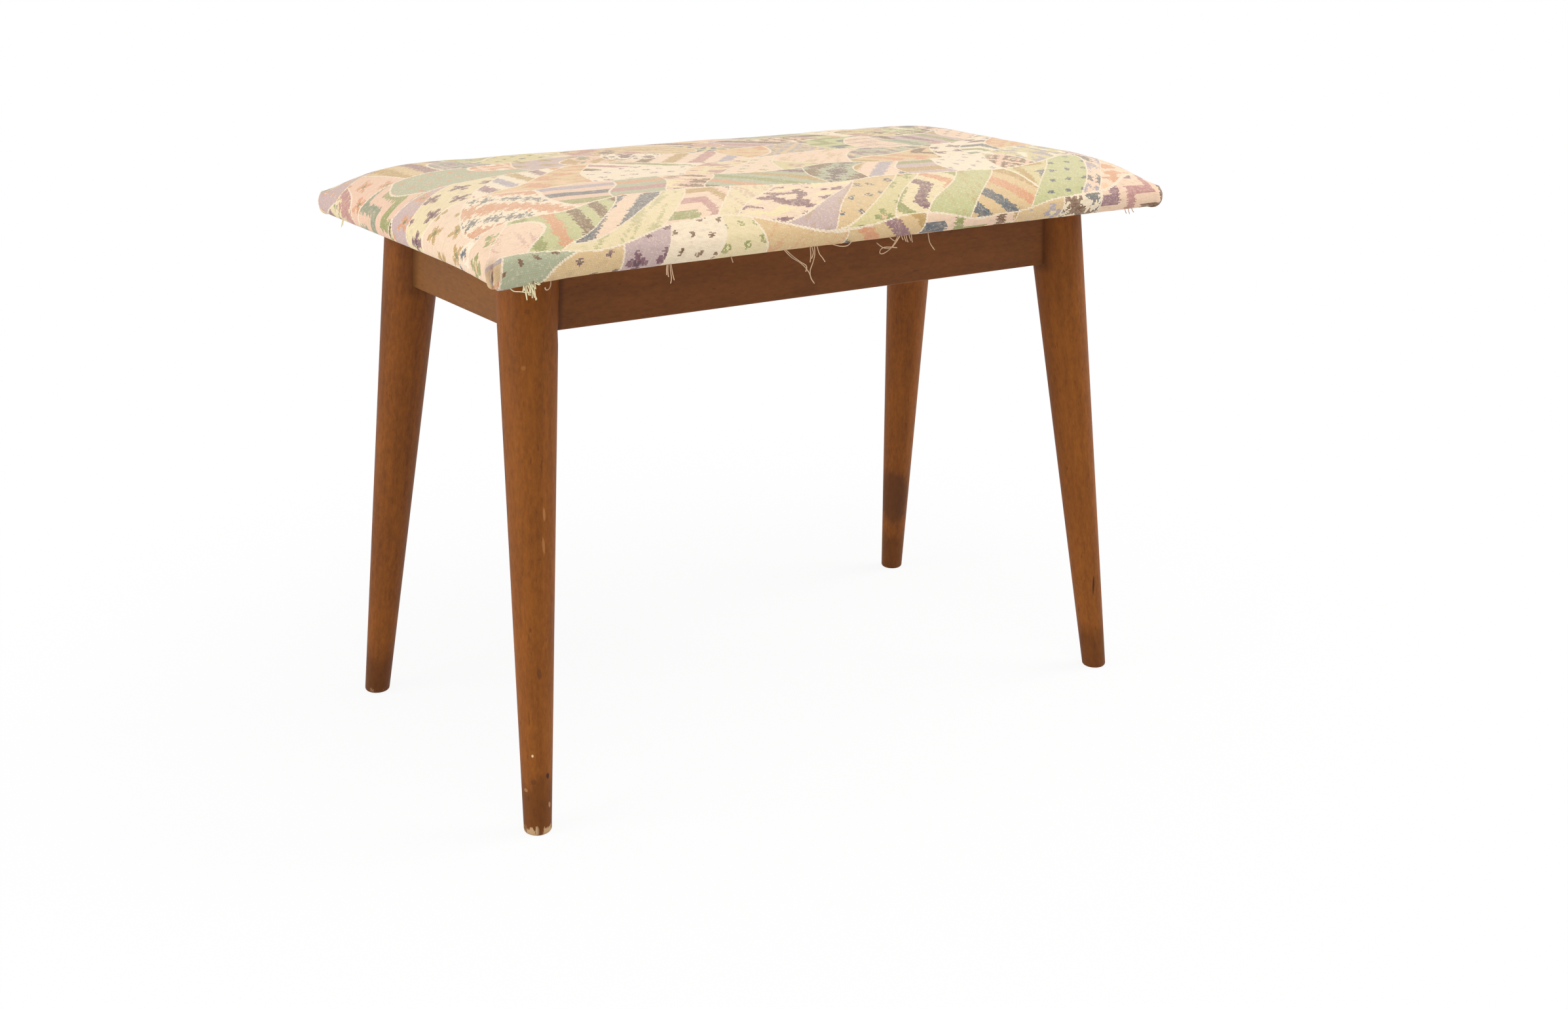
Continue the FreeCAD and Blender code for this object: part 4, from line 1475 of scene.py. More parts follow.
def apron_material(name, along_x, seed, settings):
    """Stained flat rail: straight grain along it. The rails of the short sides are paler, as painted light
    for their better lit faces.
    """
    shade = Finish(name + "_stain")
    low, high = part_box(name)
    if along_x:
        turn = (0.0, math.pi / 2, 0.0)
        stains = (settings.apron_light, settings.apron_dark)
        across = 1
        reach = LONG_RAIL_CORNER_SHADE_REACH
    else:
        turn = (-math.pi / 2, 0.0, 0.0)
        # A paler stain: painted light
        stains = (settings.lit_end_light, settings.lit_end_dark)
        across = 0
        reach = SHORT_RAIL_CORNER_SHADE_REACH
    place = shade.local_place((0.0, 0.0, low[2]), turn)
    shifted = shade.moved(place, [seed * step for step in RAIL_STEP])
    colour, rough, relief = wood_tones(shade, shifted, *stains, RAIL_RING_WIDTH, seed)
    side = 1 if high[across] > 0 else -1
    legs = [signs for signs in LEGS.values() if signs[across] == side]
    # Painted shade on the rail next to the legs
    corners = rail_corner_shade(shade, legs, reach) * RAIL_CORNER_SHADE
    colour = shade.mix(corners, colour, darkened(stains[1], 0.4))
    sockets = {"Base Color": colour, "Roughness": rough, "Specular IOR Level": WOOD_SPECULAR}
    return shade.finish(sockets, relief, bump=0.3, distance=0.12 * MM)


def raw_wood_material(name, turn, seed, settings):
    """Unfinished wood with its grain along a chosen direction."""
    shade = Finish(name)
    place = shade.local_place((seed, 0.3 * seed, 0.0), turn)
    stains = (settings.raw_light, settings.raw_dark)
    colour, rough, relief = wood_tones(shade, place, *stains, RAW_RING_WIDTH, seed)
    sockets = {"Base Color": colour, "Roughness": rough + 0.25}
    return shade.finish(sockets, relief, bump=0.5, distance=0.2 * MM)


# The board's edge: pairs of plies, thickness of a face as a share, and darkness of every other ply
PLY_PAIRS = 2.5
PLY_FACE = 0.03
PLY_STRENGTH = 0.5
# Which way the growth rings of the board's figure run, as an angle
PLY_SEED = 0.4


def plywood_material(settings):
    """Plywood: a rotary-cut face with broad figure, and its plies on the edge."""
    shade = Finish("seat_plywood")
    place = shade.local_place((0.0, 0.0, BOARD_LOW[2]), (0.0, math.pi / 2, 0.0))
    stains = (settings.raw_light, settings.raw_dark)
    colour, rough, relief = wood_tones(shade, place, *stains, PLY_RING_WIDTH, PLY_SEED)
    z = shade.parts(shade.object_place())[2]
    height = (z - BOARD_LOW[2]) / (BOARD_HIGH[2] - BOARD_LOW[2])
    ply = (height * PLY_PAIRS).part() > 0.5
    inside = height.between(PLY_FACE, 1 - PLY_FACE)
    colour = shade.mix(ply * inside * PLY_STRENGTH, colour, settings.raw_dark)
    sockets = {"Base Color": colour, "Roughness": rough + 0.2}
    return shade.finish(sockets, relief, bump=0.4, distance=0.2 * MM)


def steel_material(name, tint):
    """Plated steel wire or screw: fine grain, a little tarnish."""
    shade = Finish(name)
    place = shade.object_place()
    tarnish = shade.noise(place, even(240.0), detail=3.0)
    grain = shade.noise(place, even(2600.0))
    colour = shade.mix(shade.smooth(tarnish, 0.45, 0.75), tint, darkened(tint, 0.45))
    sockets = {"Base Color": colour, "Metallic": 1.0, "Roughness": 0.3 + 0.3 * tarnish}
    return shade.finish(sockets, grain, bump=0.2, distance=0.05 * MM)


# Where along the stool the loose threads turn straw-coloured, in metres
STRAW_REACH = (-250 * MM, -254 * MM)


def thread_material(settings):
    """Frayed yarn, straw-coloured at the near corner."""
    shade = Finish("loose_thread")
    place = shade.object_place()
    tint = shade.noise(place, (90.0, 90.0, 60.0))
    twist = shade.noise(place, (1500.0, 1500.0, 2600.0))
    colour = shade.mix(shade.smooth(tint, 0.3, 0.6), darkened(settings.colour, 0.62), settings.colour)
    straw = shade.smooth(shade.parts(place)[0], *STRAW_REACH)
    colour = shade.mix(straw, colour, settings.straw)
    sockets = {"Base Color": colour, "Roughness": 0.9, "Sheen Weight": 0.2}
    return shade.finish(sockets, twist, bump=0.4, distance=0.1 * MM)


# Loose threads of the front's lower edge, as points across and up, in millimetres
LONG_THREADS = (
    ((-73.1, 382.0), (-66.9, 375.9), (-60.6, 372.0), (-56.0, 368.2), (-52.4, 363.4), (-50.9, 359.5),
     (-48.6, 356.3)),
    ((-72.0, 382.0), (-66.0, 376.6), (-60.2, 372.3), (-55.1, 368.8), (-56.0, 365.2)),
    ((-51.4, 382.5), (-51.3, 376.2), (-52.5, 371.2)),
    ((-50.4, 382.5), (-49.3, 377.4), (-51.4, 373.6)),
    ((-47.8, 382.5), (-47.7, 375.8), (-49.4, 370.8), (-51.9, 365.9), (-52.4, 363.0)),
    ((-46.0, 382.5), (-44.1, 376.2), (-41.8, 373.0), (-40.1, 370.2)),
    ((5.0, 378.5), (8.9, 375.5), (12.8, 374.0), (17.5, 374.6), (23.4, 381.5)),
    ((23.5, 381.5), (18.4, 374.5), (12.9, 371.3), (9.1, 370.5), (7.2, 371.5), (7.6, 373.7), (9.9, 375.0),
     (14.6, 374.9), (21.3, 373.9)),
    ((50.0, 382.0), (51.2, 375.2), (52.8, 372.0), (54.9, 369.1)),
    ((-275.9, 379.4), (-272.6, 375.8), (-267.9, 374.9), (-262.8, 374.0), (-261.4, 375.9), (-262.6, 380.0)),
    ((-246.4, 381.5), (-247.1, 376.5), (-248.2, 374.8), (-249.6, 374.1), (-251.2, 374.4), (-251.8, 375.9)),
    ((-161.1, 382.0), (-161.2, 376.7), (-161.0, 372.0), (-162.0, 368.7)),
    ((-160.4, 382.0), (-160.0, 375.3), (-159.3, 370.5)),
)
FINE_THREADS = (
    ((-34.1, 381.6), (-26.4, 379.3), (-20.9, 379.4), (-18.2, 382.0)),
    ((15.1, 382.2), (20.2, 378.5), (23.4, 381.8)),
    ((-162.9, 382.2), (-164.3, 378.3), (-164.9, 374.5)),
    ((-162.4, 382.2), (-163.4, 376.9), (-163.6, 373.1)),
    ((-115.0, 382.1), (-114.6, 379.4), (-114.4, 377.4)),
)
# The bushy tuft near the front left corner: the stretch it grows from, and its tips
TUFT_ROOTS = (-267.5, -258.5)
TUFT_TIPS = (
    (-253.4, 377.4), (-256.0, 375.7), (-258.0, 374.1), (-256.4, 368.1), (-258.4, 369.4), (-261.0, 371.5),
    (-262.6, 369.2), (-264.8, 375.5), (-259.8, 373.0),
)
# Short bits of fringe: places along the edge and lengths, on the front and on the left side
FRONT_FRINGE = (
    (26.4, 2.2), (28.6, 3.6), (30.4, 4.2), (33.0, 3.4), (35.1, 4.6),
    (241.0, 2.4), (244.5, 3.0), (248.0, 2.2),
)
LEFT_FRINGE = ((98.2, 4.0), (96.9, 2.4))
# Heights where the tuft and the fringe start and where they come out of the edge, in millimetres
ROOT_HEIGHT = 382.0
EXIT_HEIGHT = 381.0
# How far behind the cover's outline threads start, and how far forward they come, in millimetres
ROOT_DEPTH = 2.6
COMING_FORWARD = 2.2
LEFT_ROOT_DEPTH = 1.6
LEFT_TIP_DEPTH = 0.6
# Most sideways lean of a bit of fringe, in millimetres
FRINGE_LEAN = 0.8
# How the tuft's strands stray, in millimetres: shift of all tips, then ranges for tips and bends
TUFT_SHIFT = -1.5
TIP_STRAY = ((-1.0, 1.0), (-0.8, 1.2))
BEND_STRAY = ((-0.8, 0.8), (-0.3, 0.9))
# Thickness of the kinds of thread beside the thickest
FINE_SIZE = 0.7
TUFT_SIZE = 0.55
FRINGE_SIZE = 0.6
# Step along a thread in metres, its sides, and how much thinner it ends
THREAD_STEP = 1.0 * MM
THREAD_SIDES = 6
THREAD_TAPER = 0.35


def front_line(points):
    """A thread that starts in the front's lower edge and stands away from it towards its end."""
    count = len(points) - 1
    line = []
    for index, (x, z) in enumerate(points):
        depth = ROOT_DEPTH - COMING_FORWARD * index / count
        line.append(Vector((x * MM, -HALF_DEPTH + depth * MM, z * MM)))
    return line


def tuft_lines(chance):
    """The bushy tuft: two strands to each tip."""
    lines = []
    low, high = TUFT_ROOTS
    for x, z in TUFT_TIPS * 2:
        root = 0.5 * min(max(x, low), high) + 0.5 * chance.uniform(low, high)
        tip_x = x + TUFT_SHIFT + chance.uniform(*TIP_STRAY[0])
        tip_z = z + chance.uniform(*TIP_STRAY[1])
        bend_x = (root + tip_x) / 2 + chance.uniform(*BEND_STRAY[0])
        bend_z = (EXIT_HEIGHT + tip_z) / 2 + chance.uniform(*BEND_STRAY[1])
        lines.append(front_line(((root, ROOT_HEIGHT), (bend_x, bend_z), (tip_x, tip_z))))
    return lines


def fringe_lines(chance):
    """Short, nearly straight bits of yarn."""
    lines = []
    for along, length in FRONT_FRINGE:
        lean = chance.uniform(-FRINGE_LEAN, FRINGE_LEAN)
        middle = (along + 0.4 * lean, EXIT_HEIGHT - length / 2)
        tip = (along + lean, EXIT_HEIGHT - length)
        lines.append(front_line(((along, ROOT_HEIGHT), middle, tip)))
    for along, length in LEFT_FRINGE:
        tip_along = along + chance.uniform(-FRINGE_LEAN, FRINGE_LEAN)
        top = Vector((-HALF_LENGTH + LEFT_ROOT_DEPTH * MM, along * MM, UNDERSIDE + MM))
        low = Vector((-HALF_LENGTH + LEFT_TIP_DEPTH * MM, tip_along * MM, UNDERSIDE - length * MM))
        lines.append([top, (top + low) / 2, low])
    return lines


def fray_lines(settings):
    """All the loose threads, each with its points and its thickness beside the thickest."""
    chance = random.Random(settings.seed)
    lines = [(front_line(points), 1.0) for points in LONG_THREADS]
    lines.extend((front_line(points), FINE_SIZE) for points in FINE_THREADS)
    lines.extend((line, TUFT_SIZE) for line in tuft_lines(chance))
    lines.extend((line, FRINGE_SIZE) for line in fringe_lines(chance))
    return lines


def thread_tree(settings):
    """Draws round threads along the edges of a mesh of polylines, thinner towards their ends."""
    inputs = {
        "Radius": settings.radius,
        "Step": THREAD_STEP,
        "Sides": THREAD_SIDES,
        "Material": thread_material(settings),
    }
    tree = GeometryTree("loose_threads", inputs)
    curve = tree.node("GeometryNodeMeshToCurve", None, {0: tree.given("Geometry")})
    smooth = tree.node("GeometryNodeCurveSplineType", {"spline_type": "CATMULL_ROM"}, {0: curve.outputs[0]})
    step = {"Curve": smooth.outputs[0], "Length": tree.given("Step")}
    fine = tree.node("GeometryNodeResampleCurve", {"mode": "LENGTH"}, step)
    along = tree.value(tree.node("GeometryNodeSplineParameter"))
    size = Value(tree, tree.attribute("size", "FLOAT")) * (1.0 - THREAD_TAPER * along * along)
    sized = tree.node("GeometryNodeSetCurveRadius", None, {"Curve": fine.outputs[0], "Radius": size})
    tree.close(tree.tube(sized.outputs[0], tree.given("Radius"), tree.given("Sides")))
    return tree


def polyline_mesh(name, lines):
    """A mesh of edges along lists of points, each point with its line's thickness."""
    points = []
    edges = []
    sizes = []
    for line, size in lines:
        first = len(points)
        points.extend(tuple(point) for point in line)
        edges.extend((index, index + 1) for index in range(first, len(points) - 1))
        sizes.extend([size] * len(line))
    mesh = bpy.data.meshes.new(name)
    mesh.from_pydata(points, edges, [])
    layer = mesh.attributes.new("size", "FLOAT", "POINT")
    layer.data.foreach_set("value", sizes)
    return mesh


def staple_places():
    """Places and turns of the staples, evenly along the hem on all four sides."""
    sides = (
        (STAPLE_LINE_X, STAPLE_LINE_Y, 0.0),
        (STAPLE_LINE_Y, STAPLE_LINE_X, math.pi / 2),
    )
    places = []
    for half, offset, turn in sides:
        count = max(2, round(2 * half / STAPLE_PITCH))
        for index in range(count):
            along = -half + 2 * half * (index + 0.5) / count
            for side in (-1, 1):
                spot = (along, side * offset) if turn == 0.0 else (side * offset, along)
                places.append((spot, turn))
    return places


STAPLE_COLOUR = (188, 186, 178)
SCREW_COLOUR = (196, 182, 150)


def staple_tree(settings):
    """Sets a staple of bent wire on every point, turned as the point says."""
    inputs = {
        "Width": settings.staple_width,
        "Wire": settings.staple_wire,
        "Leg": settings.staple_leg,
        "Material": steel_material("staple_wire", srgb(*STAPLE_COLOUR)),
    }
    tree = GeometryTree("hem_staples", inputs)
    wire = tree.number("Wire")
    half = (tree.number("Width") - wire) * 0.5
    leg = tree.number("Leg") - wire * 0.5
    line = tree.node("GeometryNodeCurvePrimitiveLine")
    four = tree.node("GeometryNodeResampleCurve", {"mode": "COUNT"}, {"Curve": line.outputs[0], "Count": 4})
    index = tree.value(tree.node("GeometryNodeInputIndex"))
    x = half * (2 * (index > 1.5) - 1)
    z = leg * (1 - index.between(0.5, 2.5))
    places = {"Geometry": four.outputs[0], "Position": tree.vector(x, 0.0, z)}
    bent = tree.node("GeometryNodeSetPosition", None, places)
    rounded = tree.node(
        "GeometryNodeFilletCurve",
        {"mode": "POLY"},
        {"Curve": bent.outputs[0], "Radius": wire * 0.9, "Count": 2},
    )
    staple = tree.tube(rounded.outputs[0], wire * 0.5, 6)
    turn = tree.vector(0.0, 0.0, Value(tree, tree.attribute("turn", "FLOAT")))
    euler = tree.node("FunctionNodeEulerToRotation", None, {0: turn})
    tree.close(tree.on_points(staple, euler.outputs[0]))
    return tree


def staple_points(name, places, height):
    """Points at a height, with the turn of the staple that each one holds."""
    mesh = point_mesh(name, [(*spot, height) for spot, turn in places])
    layer = mesh.attributes.new("turn", "FLOAT", "POINT")
    for index, (spot, turn) in enumerate(places):
        layer.data[index].value = turn
    return mesh


def point_mesh(name, points):
    """A mesh of loose points."""
    mesh = bpy.data.meshes.new(name)
    mesh.from_pydata(points, [], [])
    return mesh


# A screw is turned from a rod of this many sides and rings
ROD_SIDES = 20
ROD_RINGS = 64
# Least share of the width at the tip, and of the squared width on top of the head
LEAST_WIDTH = 0.02
# Where the head ends, counted along the screw from its seat, in metres
HEAD_END = 0.1 * MM
# The slot's cutter: its length in radii of the head, and its height in heights of the head
CUTTER_LENGTH = 3
CUTTER_HEIGHT = 0.9


def screw_tree(name, settings, sizes):
    """Sets a slotted, round-headed wood screw on every point, along the point's axis."""
    inputs = {
        **sizes,
        "Slot": settings.screw_slot,
        "Material": steel_material(name + "_steel", srgb(*SCREW_COLOUR)),
    }
    tree = GeometryTree(name, inputs)
    radius = tree.number("Radius")
    head = tree.number("Head")
    head_height = tree.number("Head Height")
    length = tree.number("Length")
    rod = tree.node(
        "GeometryNodeMeshCylinder",
        None,
        {"Vertices": ROD_SIDES, "Side Segments": ROD_RINGS, "Fill Segments": 1, "Radius": 1.0, "Depth": 1.0},
    )
    x, y, z = tree.parts(tree.node("GeometryNodeInputPosition").outputs[0])
    depth = (z + 0.5) * (length + head_height) - head_height
    above = depth / head_height
    dome = (1 - above * above).most(LEAST_WIDTH).root()
    point = ((length - depth) / (radius * 2)).least(1.0).most(LEAST_WIDTH)
    in_head = depth < HEAD_END
    wide = in_head * dome * head + (1 - in_head) * point * radius
    places = {"Geometry": rod.outputs[0], "Position": tree.vector(x * wide, y * wide, depth)}
    lathe = tree.node("GeometryNodeSetPosition", None, places)
    size = tree.vector(head * CUTTER_LENGTH, tree.number("Slot"), head_height * CUTTER_HEIGHT)
    cutter = tree.node("GeometryNodeMeshCube", None, {"Size": size})
    way = tree.vector(0.0, 0.0, head_height * -1)
    moved = tree.node("GeometryNodeTransform", None, {"Geometry": cutter.outputs[0], "Translation": way})
    pair = {0: lathe.outputs[0], 1: moved.outputs[0]}
    slotted = tree.node("GeometryNodeMeshBoolean", {"operation": "DIFFERENCE"}, pair)
    axis = {"Vector": tree.attribute("axis", "FLOAT_VECTOR")}
    turn = tree.node("FunctionNodeAlignRotationToVector", {"axis": "Z"}, axis)
    tree.close(tree.on_points(slotted.outputs[0], turn.outputs[0]))
    return tree


def screw_points(name, places):
    """Points with the axis of the screw that each one holds."""
    mesh = point_mesh(name, [spot for spot, axis in places])
    layer = mesh.attributes.new("axis", "FLOAT_VECTOR", "POINT")
    for index, (spot, axis) in enumerate(places):
        layer.data[index].vector = axis
    return mesh


def block_screw_places():
    """Seats and axes of the screws that go through the corner blocks into the rails."""
    far_x = BLOCK_FACE_X - BLOCK_SCREW_ALONG
    far_y = BLOCK_FACE_Y - BLOCK_SCREW_ALONG
    near_x = BLOCK_FACE_X - BLOCK_SCREW_GRIP
    near_y = BLOCK_FACE_Y - BLOCK_SCREW_GRIP
    places = []
    for sign_x, sign_y in LEGS.values():
        for x, y, axis in ((far_x, near_y, (0, sign_y, 0)), (near_x, far_y, (sign_x, 0, 0))):
            places.append(((FRAME_MIDDLE + sign_x * x, sign_y * y, BLOCK_SCREW_HEIGHT), axis))
    return places


def seat_screw_places():
    """Seats and axes of the screws that go up into the seat board."""
    up = (0, 0, 1)
    places = []
    for sign_x, sign_y in LEGS.values():
        spot = (FRAME_MIDDLE + sign_x * SEAT_SCREW_X, sign_y * SEAT_SCREW_Y, BLOCK_BOTTOM)
        places.append((spot, up))
    return places


class StoolOperator:
    """What all the stool's operators share."""

    bl_options = {"REGISTER", "UNDO"}


class STOOL_OT_seat_pad(StoolOperator, bpy.types.Operator):
    """Make the padding under the cover"""

    bl_idname = "stool.seat_pad"
    bl_label = "Seat pad"

    def execute(self, context):
        settings = context.scene.stool_cover
        inward = settings.thickness + PAD_GAP
        step = PAD_GRID_SHARE * settings.grid_step
        skin = SeatSkin(Swelling(settings.slack, settings.lump), step, inward)
        skin.add_grid()
        last = skin.add_rings(pad_rings(inward))
        skin.faces.append(tuple(reversed(last)))
        pad = add_object("padding", skin.make_mesh("padding"))
        pad.data.materials.append(foam_material(settings))
        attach(pad, BODY)
        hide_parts("foam_pad")
        return {"FINISHED"}


class STOOL_OT_loose_threads(StoolOperator, bpy.types.Operator):
    """Make the threads that hang from the cover's lower edge"""

    bl_idname = "stool.loose_threads"
    bl_label = "Loose threads"

    def execute(self, context):
        settings = context.scene.stool_threads
        threads = add_object("loose_threads", polyline_mesh("loose_threads", fray_lines(settings)))
        thread_tree(settings).run(threads)
        threads.data.shade_smooth()
        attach(threads, BODY)
        return {"FINISHED"}


class STOOL_OT_seat_cover(StoolOperator, bpy.types.Operator):
    """Make the tapestry cover, drawn over the pad and turned under the seat"""

    bl_idname = "stool.seat_cover"
    bl_label = "Seat cover"

    def execute(self, context):
        settings = context.scene.stool_cover
        swelling = Swelling(settings.slack, settings.lump)
        skin = CoverSkin(swelling, settings.grid_step, settings.pleat_layer)
        skin.add_grid()
        rings = cover_rings()
        skin.add_rings(rings)
        cover = add_object("tapestry_cover", skin.make_mesh("tapestry_cover"))
        edge_reach = next(ring.reach for ring in rings if ring.height is not None)
        flat_edge = (skin.flat_xs[-1] + edge_reach, skin.flat_ys[-1] + edge_reach)
        cover.data.materials.append(tapestry_material(settings, *flat_edge))
        wall = cover.modifiers.new("thickness", "SOLIDIFY")
        wall.thickness = settings.thickness
        wall.offset = -1.0
        bake_modifiers(cover)
        cover.data.shade_smooth()
        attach(cover, BODY)
        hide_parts("seat_cover")
        return {"FINISHED"}


class STOOL_OT_cover_staples(StoolOperator, bpy.types.Operator):
    """Make the staples of the cover's hem"""

    bl_idname = "stool.cover_staples"
    bl_label = "Cover staples"

    def execute(self, context):
        settings = context.scene.stool_fasteners
        height = UNDERSIDE - settings.staple_wire / 2
        staples = add_object("hem_staples", staple_points("hem_staples", staple_places(), height))
        staple_tree(settings).run(staples)
        staples.data.shade_smooth()
        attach(staples, BODY)
        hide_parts("cover_staples")
        return {"FINISHED"}


class STOOL_OT_screws(StoolOperator, bpy.types.Operator):
    """Make the screws of the corner blocks and of the seat board"""

    bl_idname = "stool.screws"
    bl_label = "Screws"

    def execute(self, context):
        settings = context.scene.stool_fasteners
        block = {
            "Radius": settings.block_screw_radius,
            "Head": settings.block_screw_head,
            "Head Height": BLOCK_SCREW_HEAD_HEIGHT,
            "Length": BLOCK_SCREW_LENGTH,
        }
        seat = {
            "Radius": settings.seat_screw_radius,
            "Head": settings.seat_screw_head,
            "Head Height": SEAT_SCREW_HEAD_HEIGHT,
            "Length": SEAT_SCREW_LENGTH,
        }
        groups = (
            ("block_screws", "corner_block_screws", block_screw_places(), block),
            ("board_screws", "seat_screws", seat_screw_places(), seat),
        )
        for name, node, places, sizes in groups:
            screws = add_object(name, screw_points(name, places))
            screw_tree(name, settings, sizes).run(screws)
            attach(screws, BODY)
            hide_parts(node)
        return {"FINISHED"}


class STOOL_OT_legs(StoolOperator, bpy.types.Operator):
    """Finish the four legs"""

    bl_idname = "stool.legs"
    bl_label = "Legs"

    def execute(self, context):
        settings = context.scene.stool_wood
        for seed, (name, signs) in enumerate(LEGS.items(), start=1):
            dress_node(name, leg_material(name, signs, seed, settings))
        return {"FINISHED"}


class STOOL_OT_aprons(StoolOperator, bpy.types.Operator):
    """Finish the four rails"""

    bl_idname = "stool.aprons"
    bl_label = "Rails"

    def execute(self, context):
        settings = context.scene.stool_wood
        aprons = (("front_apron", True), ("back_apron", True), ("left_apron", False), ("right_apron", False))
        for seed, (name, along_x) in enumerate(aprons, start=1):
            dress_node(name, apron_material(name, along_x, seed, settings))
        return {"FINISHED"}


class STOOL_OT_under_seat(StoolOperator, bpy.types.Operator):
    """Finish the board, the corner blocks and the dowels"""

    bl_idname = "stool.under_seat"
    bl_label = "Wood under the seat"

    def execute(self, context):
        settings = context.scene.stool_wood
        dress_node("seat_board", plywood_material(settings))
        for seed, (leg, signs) in enumerate(LEGS.items(), start=1):
            turn = (math.pi / 2, 0.0, math.radians(45.0 * signs[0] * signs[1]))
            name = leg.replace("leg", "corner_block")
            dress_node(name, raw_wood_material(name + "_wood", turn, seed, settings))
        across = raw_wood_material("dowel_wood_across", (0.0, math.pi / 2, 0.0), 5, settings)
        through = raw_wood_material("dowel_wood_through", (math.pi / 2, 0.0, 0.0), 6, settings)
        for name in ("front_apron_dowels", "back_apron_dowels"):
            dress_node(name, across)
        for name in ("left_apron_dowels", "right_apron_dowels"):
            dress_node(name, through)
        return {"FINISHED"}


WHITE = (1.0, 1.0, 1.0, 1.0)
FLOOR_HALF = 12.0
# How far from the stool's middle the floor's shadow starts to fade and ends, in metres
SHADOW_REACH = (0.3, 0.75)
# Lamps: name, the setting that holds the power, place and size in metres. They face the target
LAMPS = (
    ("key_left", "key", (-2.2, 0.2, 1.1), 1.6),
    ("fill_right", "fill", (1.9, -0.6, 1.6), 1.6),
    ("top_soft", "top", (-0.4, -1.0, 2.4), 1.4),
)
LAMP_TARGET = (0.0, 0.0, 0.28)


def floor_material(settings):
    """Pale floor: near white to the camera and in reflections, with the object's shadow."""
    shade = Finish("floor")
    path = shade.node("ShaderNodeLightPath")
    seen = shade.value(path, "Is Camera Ray").most(shade.value(path, "Is Glossy Ray"))
    seen = seen.most(shade.value(path, "Is Transmission Ray"))
    matt = shade.node("ShaderNodeBsdfDiffuse", None, {"Color": settings.floor})
    glow = shade.node("ShaderNodeEmission", None, {"Color": WHITE, "Strength": 1.0})
    x, y = shade.parts(shade.object_place())[:2]
    near = 1 - shade.smooth((x * x + y * y).root(), *SHADOW_REACH)
    lit = seen * (1 - near * settings.shadow)
    blend = shade.node("ShaderNodeMixShader", None, {0: lit, 1: matt.outputs[0], 2: glow.outputs[0]})
    shade.node("ShaderNodeOutputMaterial", None, {"Surface": blend.outputs[0]})
    return shade.material


def make_world(settings):
    """Even white light all round, and plain white where the camera sees past the floor."""
    world = bpy.data.worlds.new("studio")
    world.use_nodes = True
    world.node_tree.nodes.clear()
    bpy.context.scene.world = world
    sheet = NodeSheet(world.node_tree)
    path = sheet.node("ShaderNodeLightPath")
    seen = sheet.value(path, "Is Camera Ray").most(sheet.value(path, "Is Transmission Ray"))
    strength = settings.world + seen * (1 - settings.world)
    light = sheet.node("ShaderNodeBackground", None, {"Color": WHITE, "Strength": strength})
    sheet.node("ShaderNodeOutputWorld", None, {"Surface": light.outputs[0]})


def add_lamp(name, place, size, power):
    """A large soft lamp that faces the target."""
    lamp = bpy.data.lights.new(name, "AREA")
    lamp.shape = "DISK"
    lamp.size = size
    lamp.energy = power
    thing = bpy.data.objects.new(name, lamp)
    thing.location = place
    thing.rotation_euler = (Vector(LAMP_TARGET) - Vector(place)).to_track_quat("-Z", "Y").to_euler()
    bpy.context.scene.collection.objects.link(thing)


# Camera's axes and place, worked out from the legs' outlines
CAMERA_RIGHT = (0.8211582, -0.57050362, 0.01499419)
CAMERA_UP = (0.1723559, 0.27295684, 0.94646078)
CAMERA_BACK = (-0.54405207, -0.77460969, 0.32247041)
CAMERA_PLACE = (-0.7688, -1.1526, 0.6190)
CAMERA_SHIFT = -0.0053
SENSOR_WIDTH = 36.0


def add_camera(settings):
    """The camera at the photograph's place."""
    camera = bpy.data.cameras.new("camera")
    camera.sensor_width = SENSOR_WIDTH
    camera.sensor_fit = "HORIZONTAL"
    camera.lens = settings.lens
    camera.shift_x = CAMERA_SHIFT
    camera.clip_start = 0.01
    thing = bpy.data.objects.new("camera", camera)
    turn = Matrix((CAMERA_RIGHT, CAMERA_UP, CAMERA_BACK)).transposed()
    thing.matrix_world = Matrix.Translation(CAMERA_PLACE) @ turn.to_4x4()
    bpy.context.scene.collection.objects.link(thing)
    bpy.context.scene.camera = thing


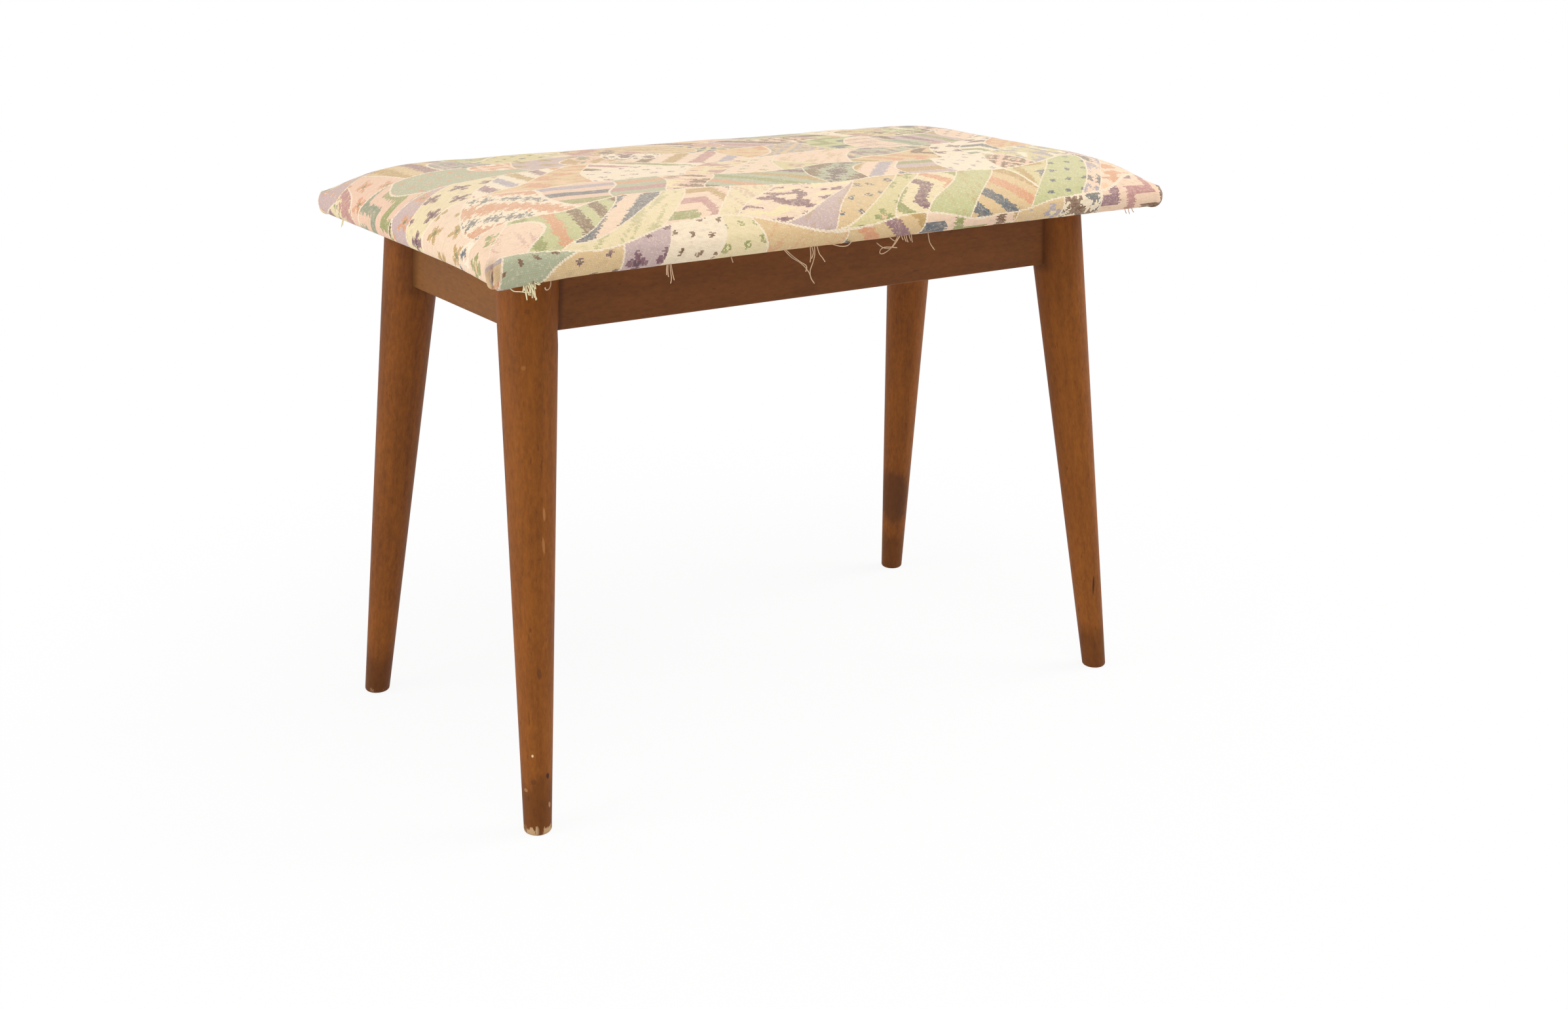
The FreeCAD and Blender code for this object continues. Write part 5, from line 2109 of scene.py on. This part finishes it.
class STOOL_OT_stage(StoolOperator, bpy.types.Operator):
    """Set up the floor, the light and the camera"""

    bl_idname = "stool.stage"
    bl_label = "Stage"

    def execute(self, context):
        settings = context.scene.stool_stage
        half = FLOOR_HALF
        corners = [(-half, -half, 0.0), (half, -half, 0.0), (half, half, 0.0), (-half, half, 0.0)]
        mesh = bpy.data.meshes.new("floor")
        mesh.from_pydata(corners, [], [(0, 1, 2, 3)])
        mesh.materials.append(floor_material(settings))
        add_object("floor", mesh)
        make_world(settings)
        for name, power, place, size in LAMPS:
            add_lamp(name, place, size, getattr(settings, power))
        add_camera(settings)
        context.scene.view_settings.view_transform = "Standard"
        return {"FINISHED"}


OPERATORS = (
    STOOL_OT_seat_pad,
    STOOL_OT_loose_threads,
    STOOL_OT_seat_cover,
    STOOL_OT_cover_staples,
    STOOL_OT_screws,
    STOOL_OT_legs,
    STOOL_OT_aprons,
    STOOL_OT_under_seat,
    STOOL_OT_stage,
)


class STOOL_PT_panel(bpy.types.Panel):
    """The stool's operators in the sidebar"""

    bl_idname = "STOOL_PT_panel"
    bl_label = "Stool"
    bl_space_type = "VIEW_3D"
    bl_region_type = "UI"
    bl_category = "Stool"

    def draw(self, context):
        for operator in OPERATORS:
            self.layout.operator(operator.bl_idname)


SETTINGS = {
    "stool_cover": StoolCoverSettings,
    "stool_wood": StoolWoodSettings,
    "stool_fasteners": StoolFastenerSettings,
    "stool_threads": StoolThreadSettings,
    "stool_stage": StoolStageSettings,
}


def register():
    """Registers the settings, the operators and the panel."""
    for name, group in SETTINGS.items():
        bpy.utils.register_class(group)
        setattr(bpy.types.Scene, name, bpy.props.PointerProperty(type=group))
    for operator in OPERATORS:
        bpy.utils.register_class(operator)
    bpy.utils.register_class(STOOL_PT_panel)


def unregister():
    """Takes the panel, the operators and the settings out again."""
    bpy.utils.unregister_class(STOOL_PT_panel)
    for operator in reversed(OPERATORS):
        bpy.utils.unregister_class(operator)
    for name, group in SETTINGS.items():
        delattr(bpy.types.Scene, name)
        bpy.utils.unregister_class(group)


def main():
    register()
    bpy.ops.stool.seat_pad()
    bpy.ops.stool.loose_threads()
    bpy.ops.stool.seat_cover()
    bpy.ops.stool.cover_staples()
    bpy.ops.stool.screws()
    bpy.ops.stool.legs()
    bpy.ops.stool.aprons()
    bpy.ops.stool.under_seat()
    bpy.ops.stool.stage()


if __name__ == "__main__":
    main()
